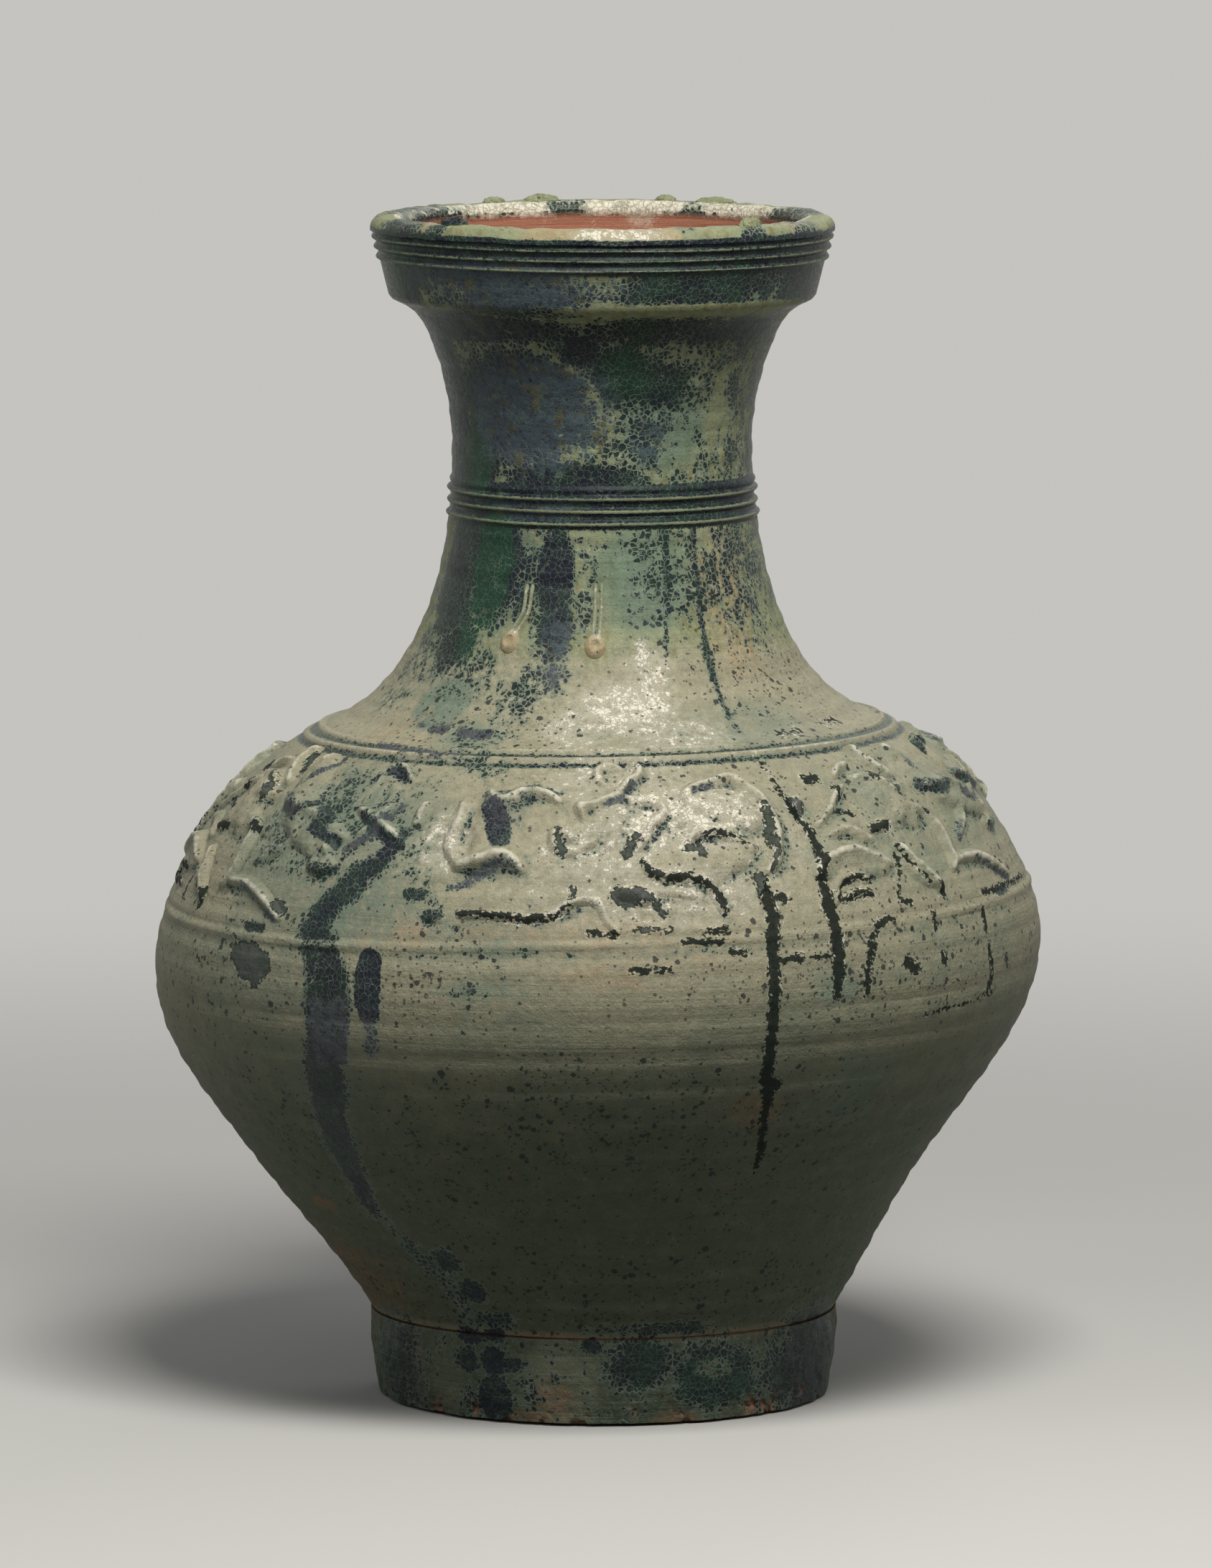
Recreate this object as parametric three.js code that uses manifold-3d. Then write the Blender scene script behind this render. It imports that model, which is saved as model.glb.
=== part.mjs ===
// A green-glazed earthenware hu: a storage vase with a dish mouth, a waisted neck, a broad
// shoulder with a moulded frieze, a rounded belly and a tall straight foot.
// The potter threw it in five sections, luted them with slip, and pressed moulded sprigs of
// running animals and hills onto the shoulder between turned ridges.
// Units are millimetres, +Z is up, and the origin is the centre of the standing face.
// Azimuth 0 faces -Y and grows towards +X.
import * as THREE from "three";
import Module from "manifold-3d";

const wasm = await Module();
wasm.setup();

// Heights of the thrown sections, from the standing face up
const FOOT_HEIGHT = 28;
const LOWER_BELLY_HEIGHT = 117;
const SHOULDER_HEIGHT = 74;
const NECK_LOWER_HEIGHT = 89;
const NECK_UPPER_HEIGHT = 38;
const MOUTH_HEIGHT = 34;

// Outer radii
const FOOT_SOLE_RADIUS = 72.5;
const FOOT_RADIUS = 75;
const BELLY_BASE_RADIUS = 74.6;
const BELLY_RADIUS = 142.6;
const SHOULDER_TOP_RADIUS = 86.2;
const WAIST_RADIUS = 48.2;
const NECK_TOP_RADIUS = 57.6;
const DISH_BASE_RADIUS = 68.8;
const DISH_RADIUS = 73.4;
const LIP_RADIUS = 74.6;

// Walls
const FOOT_WALL = 15;
const FLOOR_THICKNESS = 9;
const BELLY_WALL = 8;
const NECK_WALL = 7;
const DISH_FLOOR = 3.5;
const DISH_WALL = 8;
const LIP_WIDTH = 11;

// The layer of slip between luted pieces, and the bevel that each luted edge is cut to
const SLIP = 0.3;
const LUTING_BEVEL = 2;

// Fullness of the thrown curves: how far each end of a curve runs along its own tangent
const BELLY_BASE_RUN = 74;
const BELLY_BASE_SLOPE = 0.62;
const BELLY_LOWER_TURN = 33;
const BELLY_UPPER_TURN = 14.4;
const SHOULDER_RUN = 17.5;
const SHOULDER_SLOPE = 2.36;
const NECK_BASE_RUN = 14.9;
const WAIST_LOWER_TURN = 21;
const WAIST_UPPER_TURN = 6.8;
const NECK_TOP_RUN = 14.1;
const NECK_TOP_SLOPE = 0.53;

// Turned ridges: height and half width of a ridge, and where each band of ridges lies
const RIDGE_HEIGHT = 1.1;
const RIDGE_HALF_WIDTH = 1.4;
const NECK_RIDGE_PITCH = 3.7;
const NECK_RIDGE_COUNT = 4;
const NECK_BAND_RISE = 66;
const DISH_RIDGE_PITCH = 3.2;
const DISH_RIDGE_COUNT = 3;
const DISH_BAND_DROP = 2.6;
const BORDER_RIDGE_PITCH = 5;
const UPPER_BORDER_COUNT = 2;
const UPPER_BORDER_DROP = 4.4;
const LOWER_BORDER_RISE = 17.5;

// Lip, dish and foot shaping
const LIP_ROUND = 4;
const LIP_ROLL = 3;
const DISH_UNDERSIDE = 7.4;
const DISH_CORNER_ROUND = 2.6;
const SOLE_ROUND = 1.6;
const FOOT_SHOULDER_ROUND = 1.6;
const FOOT_RECESS_FLARE = 2;

// Frieze: it is moulded as one strip of figures, repeated round the shoulder. The lengths of
// a stroke's links, and the width from which it is laid in halves, are shares of its height.
const FRIEZE_REPEATS = 3;
const FRIEZE_MARGIN = 1.5;
const STROKE_LINK = 0.16;
const WIDE_STROKE = 0.125;
const STROKE_TIP = 0.55;

// Glaze that ran and froze: beads on the lip, tears on the neck
const BEAD_WIDTH = 4.6;
const BEAD_LENGTH = 10;
const BEAD_HEIGHT = 2;
const TEAR_RISE = 36;
const TEAR_LENGTH = 20;
const TEAR_WIDTH = 3.4;
const TEAR_HEIGHT = 1.2;
const TEAR_LINK = 9;
const TEAR_DROP_WIDTH = 6.4;
const TEAR_DROP_HEIGHT = 2.3;

// Faceting of the thrown sections
const ROUND_STEPS = 40;
const CURVE_STEPS = 9;
const INNER_STEPS = 5;
const SHORT_STEPS = 4;
const ARC_STEPS = 2;

// Levels that follow from the heights
const BELLY_LINE = FOOT_HEIGHT + LOWER_BELLY_HEIGHT;
const SHOULDER_TOP = BELLY_LINE + SHOULDER_HEIGHT;
const WAIST = SHOULDER_TOP + NECK_LOWER_HEIGHT;
const NECK_TOP = WAIST + NECK_UPPER_HEIGHT;
const LIP_TOP = NECK_TOP + MOUTH_HEIGHT;

// The vase sagged a little in the kiln: at each level the wall is swayed sideways by
// `sway` millimetres, and tilted by `tilt` millimetres of rise per millimetre towards +X.
const LOWER_BELLY_SWAY = -3.4;
const BELLY_LINE_SWAY = -1.6;
const SHOULDER_SWAY = -2.2;
const SHOULDER_TOP_SWAY = -0.9;
const LEAN = [
  { level: 0, sway: 0, tilt: 0 },
  { level: FOOT_HEIGHT, sway: 0, tilt: 0 },
  { level: FOOT_HEIGHT + LOWER_BELLY_HEIGHT * 0.45, sway: LOWER_BELLY_SWAY, tilt: 0.02 },
  { level: BELLY_LINE, sway: BELLY_LINE_SWAY, tilt: 0.03 },
  { level: BELLY_LINE + SHOULDER_HEIGHT * 0.5, sway: SHOULDER_SWAY, tilt: 0.03 },
  { level: SHOULDER_TOP, sway: SHOULDER_TOP_SWAY, tilt: 0.014 },
  { level: SHOULDER_TOP + NECK_LOWER_HEIGHT * 0.5, sway: 0, tilt: 0 },
  { level: LIP_TOP, sway: 0, tilt: 0 },
];

const glaze = new THREE.MeshStandardMaterial({ color: 0x8fa08a, roughness: 0.38, metalness: 0.08 });
const neckGlaze = new THREE.MeshStandardMaterial({ color: 0x35524c, roughness: 0.3, metalness: 0.1 });
const footGlaze = new THREE.MeshStandardMaterial({ color: 0x6f7a66, roughness: 0.6, metalness: 0 });
const reliefGlaze = new THREE.MeshStandardMaterial({ color: 0xa9ac93, roughness: 0.4, metalness: 0.08 });
const beadGlaze = new THREE.MeshStandardMaterial({ color: 0x6d8a63, roughness: 0.2, metalness: 0.05 });

const radians = THREE.MathUtils.degToRad;

// The sway and the tilt at a level, eased between the stations of LEAN.
function leanAt(level) {
  if (level <= LEAN[0].level) return LEAN[0];
  const above = LEAN.findIndex((station) => station.level > level);
  if (above < 0) return LEAN[LEAN.length - 1];
  const low = LEAN[above - 1];
  const high = LEAN[above];
  const share = THREE.MathUtils.smoothstep(level, low.level, high.level);
  return {
    sway: THREE.MathUtils.lerp(low.sway, high.sway, share),
    tilt: THREE.MathUtils.lerp(low.tilt, high.tilt, share),
  };
}

// Moves a geometry's points from the true round form to the form as it sagged.
function settle(geometry) {
  const position = geometry.getAttribute("position");
  for (let i = 0; i < position.count; i++) {
    const x = position.getX(i);
    const z = position.getZ(i);
    const { sway, tilt } = leanAt(z);
    position.setX(i, x + sway);
    position.setZ(i, z + x * tilt);
  }
  geometry.computeVertexNormals();
  return geometry;
}

// A thrown profile as a curve of (radius, level) from bottom to top.
function thrownCurve(base, baseSlope, baseRun, top, topSlope, topRun) {
  return new THREE.CubicBezierCurve(
    new THREE.Vector2(base.radius, base.level),
    new THREE.Vector2(base.radius + baseSlope * baseRun, base.level + baseRun),
    new THREE.Vector2(top.radius - topSlope * topRun, top.level - topRun),
    new THREE.Vector2(top.radius, top.level),
  );
}

const lowerBellyCurve = thrownCurve(
  { radius: BELLY_BASE_RADIUS, level: FOOT_HEIGHT + SLIP }, BELLY_BASE_SLOPE, BELLY_BASE_RUN,
  { radius: BELLY_RADIUS, level: BELLY_LINE }, 0, BELLY_LOWER_TURN,
);
const shoulderCurve = thrownCurve(
  { radius: BELLY_RADIUS, level: BELLY_LINE }, 0, BELLY_UPPER_TURN,
  { radius: SHOULDER_TOP_RADIUS, level: SHOULDER_TOP }, -SHOULDER_SLOPE, SHOULDER_RUN,
);
const neckLowerCurve = thrownCurve(
  { radius: SHOULDER_TOP_RADIUS, level: SHOULDER_TOP }, -SHOULDER_SLOPE, NECK_BASE_RUN,
  { radius: WAIST_RADIUS, level: WAIST }, 0, WAIST_LOWER_TURN,
);
const neckUpperCurve = thrownCurve(
  { radius: WAIST_RADIUS, level: WAIST }, 0, WAIST_UPPER_TURN,
  { radius: NECK_TOP_RADIUS, level: NECK_TOP }, NECK_TOP_SLOPE, NECK_TOP_RUN,
);

// The point of a curve at a run, a length in millimetres along it, lifted off its outer side.
function alongWall(curve, run, lift = 0) {
  const share = THREE.MathUtils.clamp(run / curve.getLength(), 0, 1);
  const point = curve.getPointAt(share);
  const tangent = curve.getTangentAt(share);
  return new THREE.Vector2(point.x + tangent.y * lift, point.y - tangent.x * lift);
}

// The run along a curve at which it reaches a level.
function runAtLevel(curve, level) {
  const length = curve.getLength();
  let low = 0;
  let high = length;
  while (high - low > 1e-4) {
    const middle = (low + high) / 2;
    if (alongWall(curve, middle).y < level) low = middle;
    else high = middle;
  }
  return (low + high) / 2;
}

// Outer points of a wall from bottom to top, with a turned ridge at each run in `ridges`.
function turnedWall(curve, steps, ridges = []) {
  const length = curve.getLength();
  const near = (run) => ridges.some((ridge) => Math.abs(run - ridge) < RIDGE_HALF_WIDTH * 1.6);
  const stations = [];
  for (let i = 0; i <= steps; i++) {
    const run = (length * i) / steps;
    if (i === 0 || i === steps || !near(run)) stations.push({ run, lift: 0 });
  }
  for (const ridge of ridges) {
    stations.push({ run: ridge - RIDGE_HALF_WIDTH, lift: 0 });
    stations.push({ run: ridge, lift: RIDGE_HEIGHT });
    stations.push({ run: ridge + RIDGE_HALF_WIDTH, lift: 0 });
  }
  stations.sort((a, b) => a.run - b.run);
  return stations.map(({ run, lift }) => alongWall(curve, run, lift));
}

// Inner points of a wall from top to bottom. The wall is `below` thick at its foot and `above`
// thick at its top.
function innerWall(curve, steps, below, above) {
  const length = curve.getLength();
  const points = [];
  for (let i = steps; i >= 0; i--) {
    const share = i / steps;
    points.push(alongWall(curve, length * share, -THREE.MathUtils.lerp(below, above, share)));
  }
  return points;
}

const at = (radius, level) => new THREE.Vector2(radius, level);
const closed = (points) => [...points, points[0].clone()];

// A rounded corner of a profile, from one angle to another, in degrees up from the outward side.
function arc(centre, radius, from, to) {
  return Array.from({ length: ARC_STEPS + 1 }, (_, i) => {
    const angle = radians(THREE.MathUtils.lerp(from, to, i / ARC_STEPS));
    return at(centre.x + radius * Math.cos(angle), centre.y + radius * Math.sin(angle));
  });
}

// Turns a profile round the axis. The profile runs up the outside and down the inside.
function turn(profile) {
  const geometry = new THREE.LatheGeometry(profile, ROUND_STEPS);
  geometry.rotateX(Math.PI / 2);
  return settle(geometry);
}

function piece(name, geometry, material) {
  const mesh = new THREE.Mesh(geometry, material);
  mesh.name = name;
  return mesh;
}

// Foot: a tall ring with a nearly upright outer face. Its underside is open up to the floor.
function footRing() {
  const recess = FOOT_SOLE_RADIUS - FOOT_WALL;
  const shoulder = at(FOOT_RADIUS - FOOT_SHOULDER_ROUND, FOOT_HEIGHT - FOOT_SHOULDER_ROUND);
  return turn(closed([
    at(recess + FOOT_RECESS_FLARE, 0),
    ...arc(at(FOOT_SOLE_RADIUS - SOLE_ROUND, SOLE_ROUND), SOLE_ROUND, -90, 0),
    ...arc(shoulder, FOOT_SHOULDER_ROUND, 0, 90),
    at(recess, FOOT_HEIGHT),
  ]));
}

// Lower belly: an open bowl whose flat underside sits on the foot.
function lowerBowl() {
  const underside = FOOT_HEIGHT + SLIP;
  const floor = underside + FLOOR_THICKNESS;
  const outside = turnedWall(lowerBellyCurve, CURVE_STEPS).slice(0, -1);
  const inside = innerWall(lowerBellyCurve, INNER_STEPS, BELLY_WALL, BELLY_WALL).slice(1);
  return turn([
    at(0, underside),
    ...outside,
    at(BELLY_RADIUS, BELLY_LINE - LUTING_BEVEL),
    at(BELLY_RADIUS - BELLY_WALL, BELLY_LINE),
    ...inside.filter((point) => point.y > floor + BELLY_WALL / 2),
    at(BELLY_BASE_RADIUS - BELLY_WALL, floor),
    at(0, floor),
  ]);
}

// Runs along the shoulder of the two turned ridges over the frieze, upper first
const upperBorders = Array.from(
  { length: UPPER_BORDER_COUNT },
  (_, i) => shoulderCurve.getLength() - UPPER_BORDER_DROP - i * BORDER_RIDGE_PITCH,
);

// Shoulder: a dome that closes the belly in to the seat of the neck.
function shoulderDome() {
  const outside = turnedWall(shoulderCurve, CURVE_STEPS, [LOWER_BORDER_RISE, ...upperBorders]);
  const inside = innerWall(shoulderCurve, INNER_STEPS, BELLY_WALL, BELLY_WALL);
  return turn(closed([
    at(BELLY_RADIUS, BELLY_LINE - LUTING_BEVEL + SLIP),
    ...outside.slice(1),
    ...inside.slice(0, -1),
    at(BELLY_RADIUS - BELLY_WALL, BELLY_LINE + SLIP),
  ]));
}

// Neck: thrown as one tube with a flared base, a waist and four ridges just below it.
function neck() {
  const first = runAtLevel(neckLowerCurve, SHOULDER_TOP + NECK_BAND_RISE);
  const ridges = Array.from({ length: NECK_RIDGE_COUNT }, (_, i) => first + i * NECK_RIDGE_PITCH);
  const lower = turnedWall(neckLowerCurve, CURVE_STEPS, ridges);
  const upper = turnedWall(neckUpperCurve, SHORT_STEPS).slice(1);
  const upperInside = innerWall(neckUpperCurve, SHORT_STEPS - 1, NECK_WALL, NECK_WALL);
  const lowerInside = innerWall(neckLowerCurve, INNER_STEPS, BELLY_WALL, NECK_WALL).slice(1);
  const tangent = neckLowerCurve.getTangentAt(0);
  for (const seat of [lower[0], lowerInside[lowerInside.length - 1]]) seat.addScaledVector(tangent, SLIP);
  return turn(closed([...lower, ...upper, ...upperInside, ...lowerInside]));
}

// Dish mouth: a shallow cup with an upright wall, three ridges under the lip, and a rolled lip.
function mouthDish() {
  const seat = alongWall(neckUpperCurve, neckUpperCurve.getLength());
  const throat = alongWall(neckUpperCurve, neckUpperCurve.getLength(), -NECK_WALL);
  const tangent = neckUpperCurve.getTangentAt(1);
  for (const edge of [seat, throat]) edge.addScaledVector(tangent, SLIP);

  const corner = NECK_TOP + DISH_UNDERSIDE;
  const underside = new THREE.QuadraticBezierCurve(
    seat,
    at(seat.x + tangent.x * DISH_UNDERSIDE, corner - DISH_CORNER_ROUND / 2),
    at(DISH_BASE_RADIUS - DISH_CORNER_ROUND, corner),
  );
  const wall = new THREE.LineCurve(
    at(DISH_BASE_RADIUS, corner + DISH_CORNER_ROUND),
    at(DISH_RADIUS, LIP_TOP - LIP_ROUND - DISH_CORNER_ROUND / 2),
  );
  const top = wall.getLength() - DISH_BAND_DROP;
  const ridges = Array.from({ length: DISH_RIDGE_COUNT }, (_, i) => top - i * DISH_RIDGE_PITCH);
  const outerRoll = at(LIP_RADIUS - LIP_ROUND, LIP_TOP - LIP_ROUND);
  const innerRoll = at(LIP_RADIUS - LIP_WIDTH + LIP_ROLL, LIP_TOP - LIP_ROLL);
  return turn(closed([
    ...underside.getPoints(ARC_STEPS),
    ...turnedWall(wall, ARC_STEPS, ridges),
    ...arc(outerRoll, LIP_ROUND, 0, 90),
    ...arc(innerRoll, LIP_ROLL, 90, 180),
    at(DISH_RADIUS - DISH_WALL - LIP_ROLL / 2, LIP_TOP - LIP_WIDTH),
    at(DISH_BASE_RADIUS - DISH_WALL, corner + DISH_FLOOR),
    throat,
  ]));
}

// A point on a wall, lifted off it: azimuth in radians, run in millimetres along the curve.
function onWall(curve, azimuth, run, lift) {
  const { x: radius, y: level } = alongWall(curve, run, lift);
  return new THREE.Vector3(radius * Math.sin(azimuth), -radius * Math.cos(azimuth), level);
}

// A stroke's section, as share of the half width and share of the height: a strap with sloped
// sides. A wide strap is laid in two halves, which follow the round of the wall.
const STRAP = [[-1, 0], [-0.6, 1], [0.6, 1], [1, 0]];
const LEFT_HALF = [[-1, 0], [-0.6, 1], [0, 1], [0, 0]];
const RIGHT_HALF = [[0, 0], [0, 1], [0.6, 1], [1, 0]];

// A raised stroke laid along a path on a wall, as a list of convex links. The path's points are
// (azimuth in degrees, run in millimetres); width and height are the stroke's largest. Its links
// are `step` long, and it is laid in two halves when it is `wide`.
function stroke(curve, path, width, height, step, wide) {
  const mean = alongWall(curve, path[0][1]).x;
  const line = new THREE.SplineCurve(path.map(([azimuth, run]) => at(radians(azimuth) * mean, run)));
  const steps = Math.max(2, Math.round(line.getLength() / step));
  const sectionAt = (share, section) => {
    const centre = line.getPointAt(share);
    const tangent = line.getTangentAt(share);
    const swell = STROKE_TIP + (1 - STROKE_TIP) * Math.sqrt(Math.sin(Math.PI * share) + 1e-9);
    return section.map(([across, up]) => {
      const aside = (across * swell * width) / 2;
      const azimuth = (centre.x - tangent.y * aside) / mean;
      const run = centre.y + tangent.x * aside;
      return onWall(curve, azimuth, run, SLIP + up * height * swell).toArray();
    });
  };
  const links = [];
  for (const section of wide ? [LEFT_HALF, RIGHT_HALF] : [STRAP]) {
    for (let i = 0; i < steps; i++) {
      const ends = [...sectionAt(i / steps, section), ...sectionAt((i + 1) / steps, section)];
      links.push(wasm.Manifold.hull(ends));
    }
  }
  return links;
}

function toGeometry(solid) {
  const { vertProperties, triVerts } = solid.getMesh();
  const geometry = new THREE.BufferGeometry();
  geometry.setAttribute("position", new THREE.BufferAttribute(new Float32Array(vertProperties), 3));
  geometry.setIndex(new THREE.BufferAttribute(new Uint32Array(triVerts), 1));
  return geometry;
}

// One sprig: its links joined into a single pressed piece of clay.
const sprig = (links) => settle(toGeometry(wasm.Manifold.union(links)));

// The figures of the frieze: the azimuth in degrees where each stands, and its strokes. A stroke
// is [path, width, height]. Widths, heights and a path's points, which are [across, up], are
// shares of the frieze's height. The first stroke is the figure's low body.
const FIGURES = {
  leaping_deer: {
    azimuth: -51,
    strokes: [
      [[[-0.22, 0.86], [-0.09, 0.62], [0.165, 0.46]], 0.232, 0.017],
      [[[-0.247, 0.65], [0.034, 0.615], [0.305, 0.52]], 0.077, 0.036],
      [[[-0.26, 0.92], [-0.219, 0.74]], 0.093, 0.037],
      [[[-0.336, 0.21], [-0.12, 0.2], [0.123, 0.075]], 0.062, 0.028],
      [[[-0.206, 0.21], [-0.034, 0.46]], 0.056, 0.028],
    ],
  },
  cloud_scroll: {
    azimuth: -37,
    strokes: [
      [[[-0.12, 0.663], [0.041, 0.6], [0.21, 0.52]], 0.065, 0.029],
      [[[-0.082, 0.62], [-0.117, 0.85], [-0.017, 0.93], [0.082, 0.87]], 0.056, 0.025],
      [[[-0.24, 0.342], [-0.17, 0.315], [-0.1, 0.37], [-0.03, 0.62]], 0.062, 0.028],
    ],
  },
  crouching_bear: {
    azimuth: -14,
    strokes: [
      [[[-0.1, 0.8], [-0.12, 0.6], [-0.04, 0.44]], 0.34, 0.019],
      [[[-0.233, 0.8], [-0.267, 0.58], [-0.213, 0.38]], 0.093, 0.037],
      [[[-0.171, 0.82], [-0.041, 0.74], [0.117, 0.81], [0.26, 0.74]], 0.071, 0.032],
      [[[-0.13, 0.39], [-0.03, 0.4], [0.117, 0.37]], 0.068, 0.034],
      [[[0.027, 0.44], [0.089, 0.16], [0.295, 0.14], [0.459, 0.19]], 0.05, 0.023],
    ],
  },
  winged_spirit: {
    azimuth: 2,
    strokes: [
      [[[0.048, 0.79], [-0.041, 0.64], [-0.11, 0.46]], 0.131, 0.017],
      [[[0.041, 0.77], [0.123, 0.875], [0.178, 0.93], [0.13, 0.965]], 0.056, 0.028],
      [[[-0.164, 0.7], [-0.027, 0.74], [0.137, 0.745], [0.278, 0.68], [0.226, 0.59]], 0.059, 0.029],
      [[[0.034, 0.79], [-0.069, 0.88], [-0.041, 0.965]], 0.046, 0.023],
      [[[-0.271, 0.57], [-0.278, 0.49], [-0.171, 0.45], [-0.007, 0.42]], 0.062, 0.029],
    ],
  },
  rearing_tiger: {
    azimuth: 17,
    strokes: [
      [[[-0.13, 0.52], [0.069, 0.6], [0.33, 0.54]], 0.263, 0.019],
      [[[-0.082, 0.76], [0.055, 0.84], [0.26, 0.8], [0.346, 0.58], [0.281, 0.34]], 0.077, 0.036],
      [[[-0.171, 0.45], [-0.021, 0.53], [0.213, 0.43]], 0.062, 0.031],
      [[[-0.343, 0.38], [-0.254, 0.295], [-0.096, 0.27], [0, 0.11]], 0.068, 0.031],
      [[[-0.45, 0.235], [-0.29, 0.235], [-0.12, 0.48]], 0.083, 0.029],
    ],
  },
  hills: {
    azimuth: 38,
    strokes: [
      [[[-0.206, 0.27], [0, 0.35], [0.206, 0.26]], 0.147, 0.036],
      [[[-0.154, 0.1], [-0.055, 0.22], [0.051, 0.17]], 0.046, 0.023],
      [[[-0.062, 0.13], [-0.055, 0.36]], 0.093, 0.014],
      [[[-0.096, 0.38], [-0.02, 0.55], [0.158, 0.73]], 0.05, 0.025],
      [[[-0.185, 0.655], [-0.041, 0.5]], 0.093, 0.032],
    ],
  },
  striding_tiger: {
    azimuth: 51,
    strokes: [
      [[[-0.1, 0.74], [0.02, 0.5]], 0.263, 0.019],
      [[[-0.26, 0.81], [-0.117, 0.86], [0.034, 0.71], [0.178, 0.68]], 0.071, 0.032],
      [[[-0.034, 0.5], [-0.069, 0.28], [0.065, 0.11]], 0.085, 0.036],
      [[[-0.247, 0.45], [0.014, 0.55], [0.267, 0.52]], 0.071, 0.028],
      [[[0.082, 0.95], [0.178, 0.71]], 0.093, 0.037],
    ],
  },
};

// The frieze's field on the shoulder, between its border ridges: where it starts, its height,
// and the wall's radius at its middle, by which a stroke's points turn into azimuths.
const FRIEZE_FOOT = LOWER_BORDER_RISE + RIDGE_HALF_WIDTH + FRIEZE_MARGIN;
const FRIEZE_TOP = upperBorders[upperBorders.length - 1] - RIDGE_HALF_WIDTH - FRIEZE_MARGIN;
const FRIEZE_HEIGHT = FRIEZE_TOP - FRIEZE_FOOT;
const FRIEZE_RADIUS = alongWall(shoulderCurve, (FRIEZE_FOOT + FRIEZE_TOP) / 2).x;

// One figure of the frieze, stood at an azimuth in degrees.
function figureSprig(strokes, azimuth) {
  const degrees = THREE.MathUtils.radToDeg(FRIEZE_HEIGHT / FRIEZE_RADIUS);
  const links = strokes.flatMap(([path, width, height]) => stroke(
    shoulderCurve,
    path.map(([across, up]) => [azimuth + across * degrees, FRIEZE_FOOT + up * FRIEZE_HEIGHT]),
    width * FRIEZE_HEIGHT,
    height * FRIEZE_HEIGHT,
    STROKE_LINK * FRIEZE_HEIGHT,
    width > WIDE_STROKE,
  ));
  return sprig(links);
}

function friezeSprigs() {
  const sprigs = [];
  for (let repeat = 0; repeat < FRIEZE_REPEATS; repeat++) {
    const turned = (360 / FRIEZE_REPEATS) * repeat;
    for (const [figure, { azimuth, strokes }] of Object.entries(FIGURES)) {
      sprigs.push(piece(`${figure}_${repeat + 1}`, figureSprig(strokes, azimuth + turned), reliefGlaze));
    }
  }
  return sprigs;
}

// Beads of glaze that gathered on the lip: azimuth in degrees, and length along the lip and
// height as shares of a common bead's
const LIP_BEADS = [
  { azimuth: -43, length: 1.1, height: 1.4 },
  { azimuth: 42, length: 0.9, height: 1.65 },
  { azimuth: 148, length: 1.5, height: 0.95 },
  { azimuth: 163, length: 0.7, height: 1.1 },
  { azimuth: -163, length: 1.2, height: 1.2 },
  { azimuth: -149, length: 0.8, height: 1 },
];

// A low dome of glaze on the crest of the lip, longer than it is wide.
function lipBead({ azimuth, length, height }) {
  const rise = new THREE.EllipseCurve(0, 0, BEAD_WIDTH / 2, height * BEAD_HEIGHT, 0, Math.PI / 2);
  const dome = [at(0, 0), ...rise.getPoints(SHORT_STEPS)];
  dome[dome.length - 1].x = 0;
  const turned = radians(azimuth);
  const seat = LIP_RADIUS - LIP_WIDTH / 2;
  const geometry = new THREE.LatheGeometry(dome, 12);
  geometry.rotateX(Math.PI / 2);
  geometry.scale((length * BEAD_LENGTH) / BEAD_WIDTH, 1, 1);
  geometry.rotateZ(turned);
  geometry.translate(seat * Math.sin(turned), -seat * Math.cos(turned), LIP_TOP + SLIP);
  return settle(geometry);
}

// Tears of glaze on the neck: azimuth in degrees, drift of the tail in degrees, and length as a
// share of a common tear's
const NECK_TEARS = [
  { azimuth: -30, drift: 4, length: 0.95 },
  { azimuth: -2, drift: 0.5, length: 1.05 },
];

// A thin run of glaze that ends below in a fat drop.
function neckTear({ azimuth, drift, length }) {
  const rise = length * TEAR_LENGTH;
  const foot = runAtLevel(neckLowerCurve, SHOULDER_TOP + TEAR_RISE) - rise / 2;
  const tail = [
    [azimuth + drift / 2, foot + TEAR_DROP_WIDTH / 4],
    [azimuth + drift, foot + rise / 2],
    [azimuth + drift, foot + rise],
  ];
  const drop = [
    [azimuth, foot - TEAR_DROP_WIDTH / 2],
    [azimuth + drift / 4, foot + TEAR_DROP_WIDTH / 2],
  ];
  return sprig([
    ...stroke(neckLowerCurve, tail, TEAR_WIDTH, TEAR_HEIGHT, TEAR_LINK, false),
    ...stroke(neckLowerCurve, drop, TEAR_DROP_WIDTH, TEAR_DROP_HEIGHT, TEAR_LINK, false),
  ]);
}

const vase = new THREE.Group();
vase.add(
  piece("foot_ring", footRing(), footGlaze),
  piece("lower_bowl", lowerBowl(), glaze),
  piece("shoulder_dome", shoulderDome(), glaze),
  piece("neck", neck(), neckGlaze),
  piece("mouth_dish", mouthDish(), neckGlaze),
  ...friezeSprigs(),
  ...LIP_BEADS.map((bead, i) => piece(`lip_bead_${i + 1}`, lipBead(bead), beadGlaze)),
  ...NECK_TEARS.map((tear, i) => piece(`neck_tear_${i + 1}`, neckTear(tear), beadGlaze)),
);

export default vase;
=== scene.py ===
"""A green lead-glazed earthenware hu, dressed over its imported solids.

The vase is thrown in five sections, carries a moulded frieze of running animals and hills on its
shoulder, and has a weathered, crackled glaze with dark runs. Lengths in the tables are
millimetres; azimuth 0 faces the camera (-Y) and grows towards +X.
"""

import math

import bpy
import numpy as np
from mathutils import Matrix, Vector, noise


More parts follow.
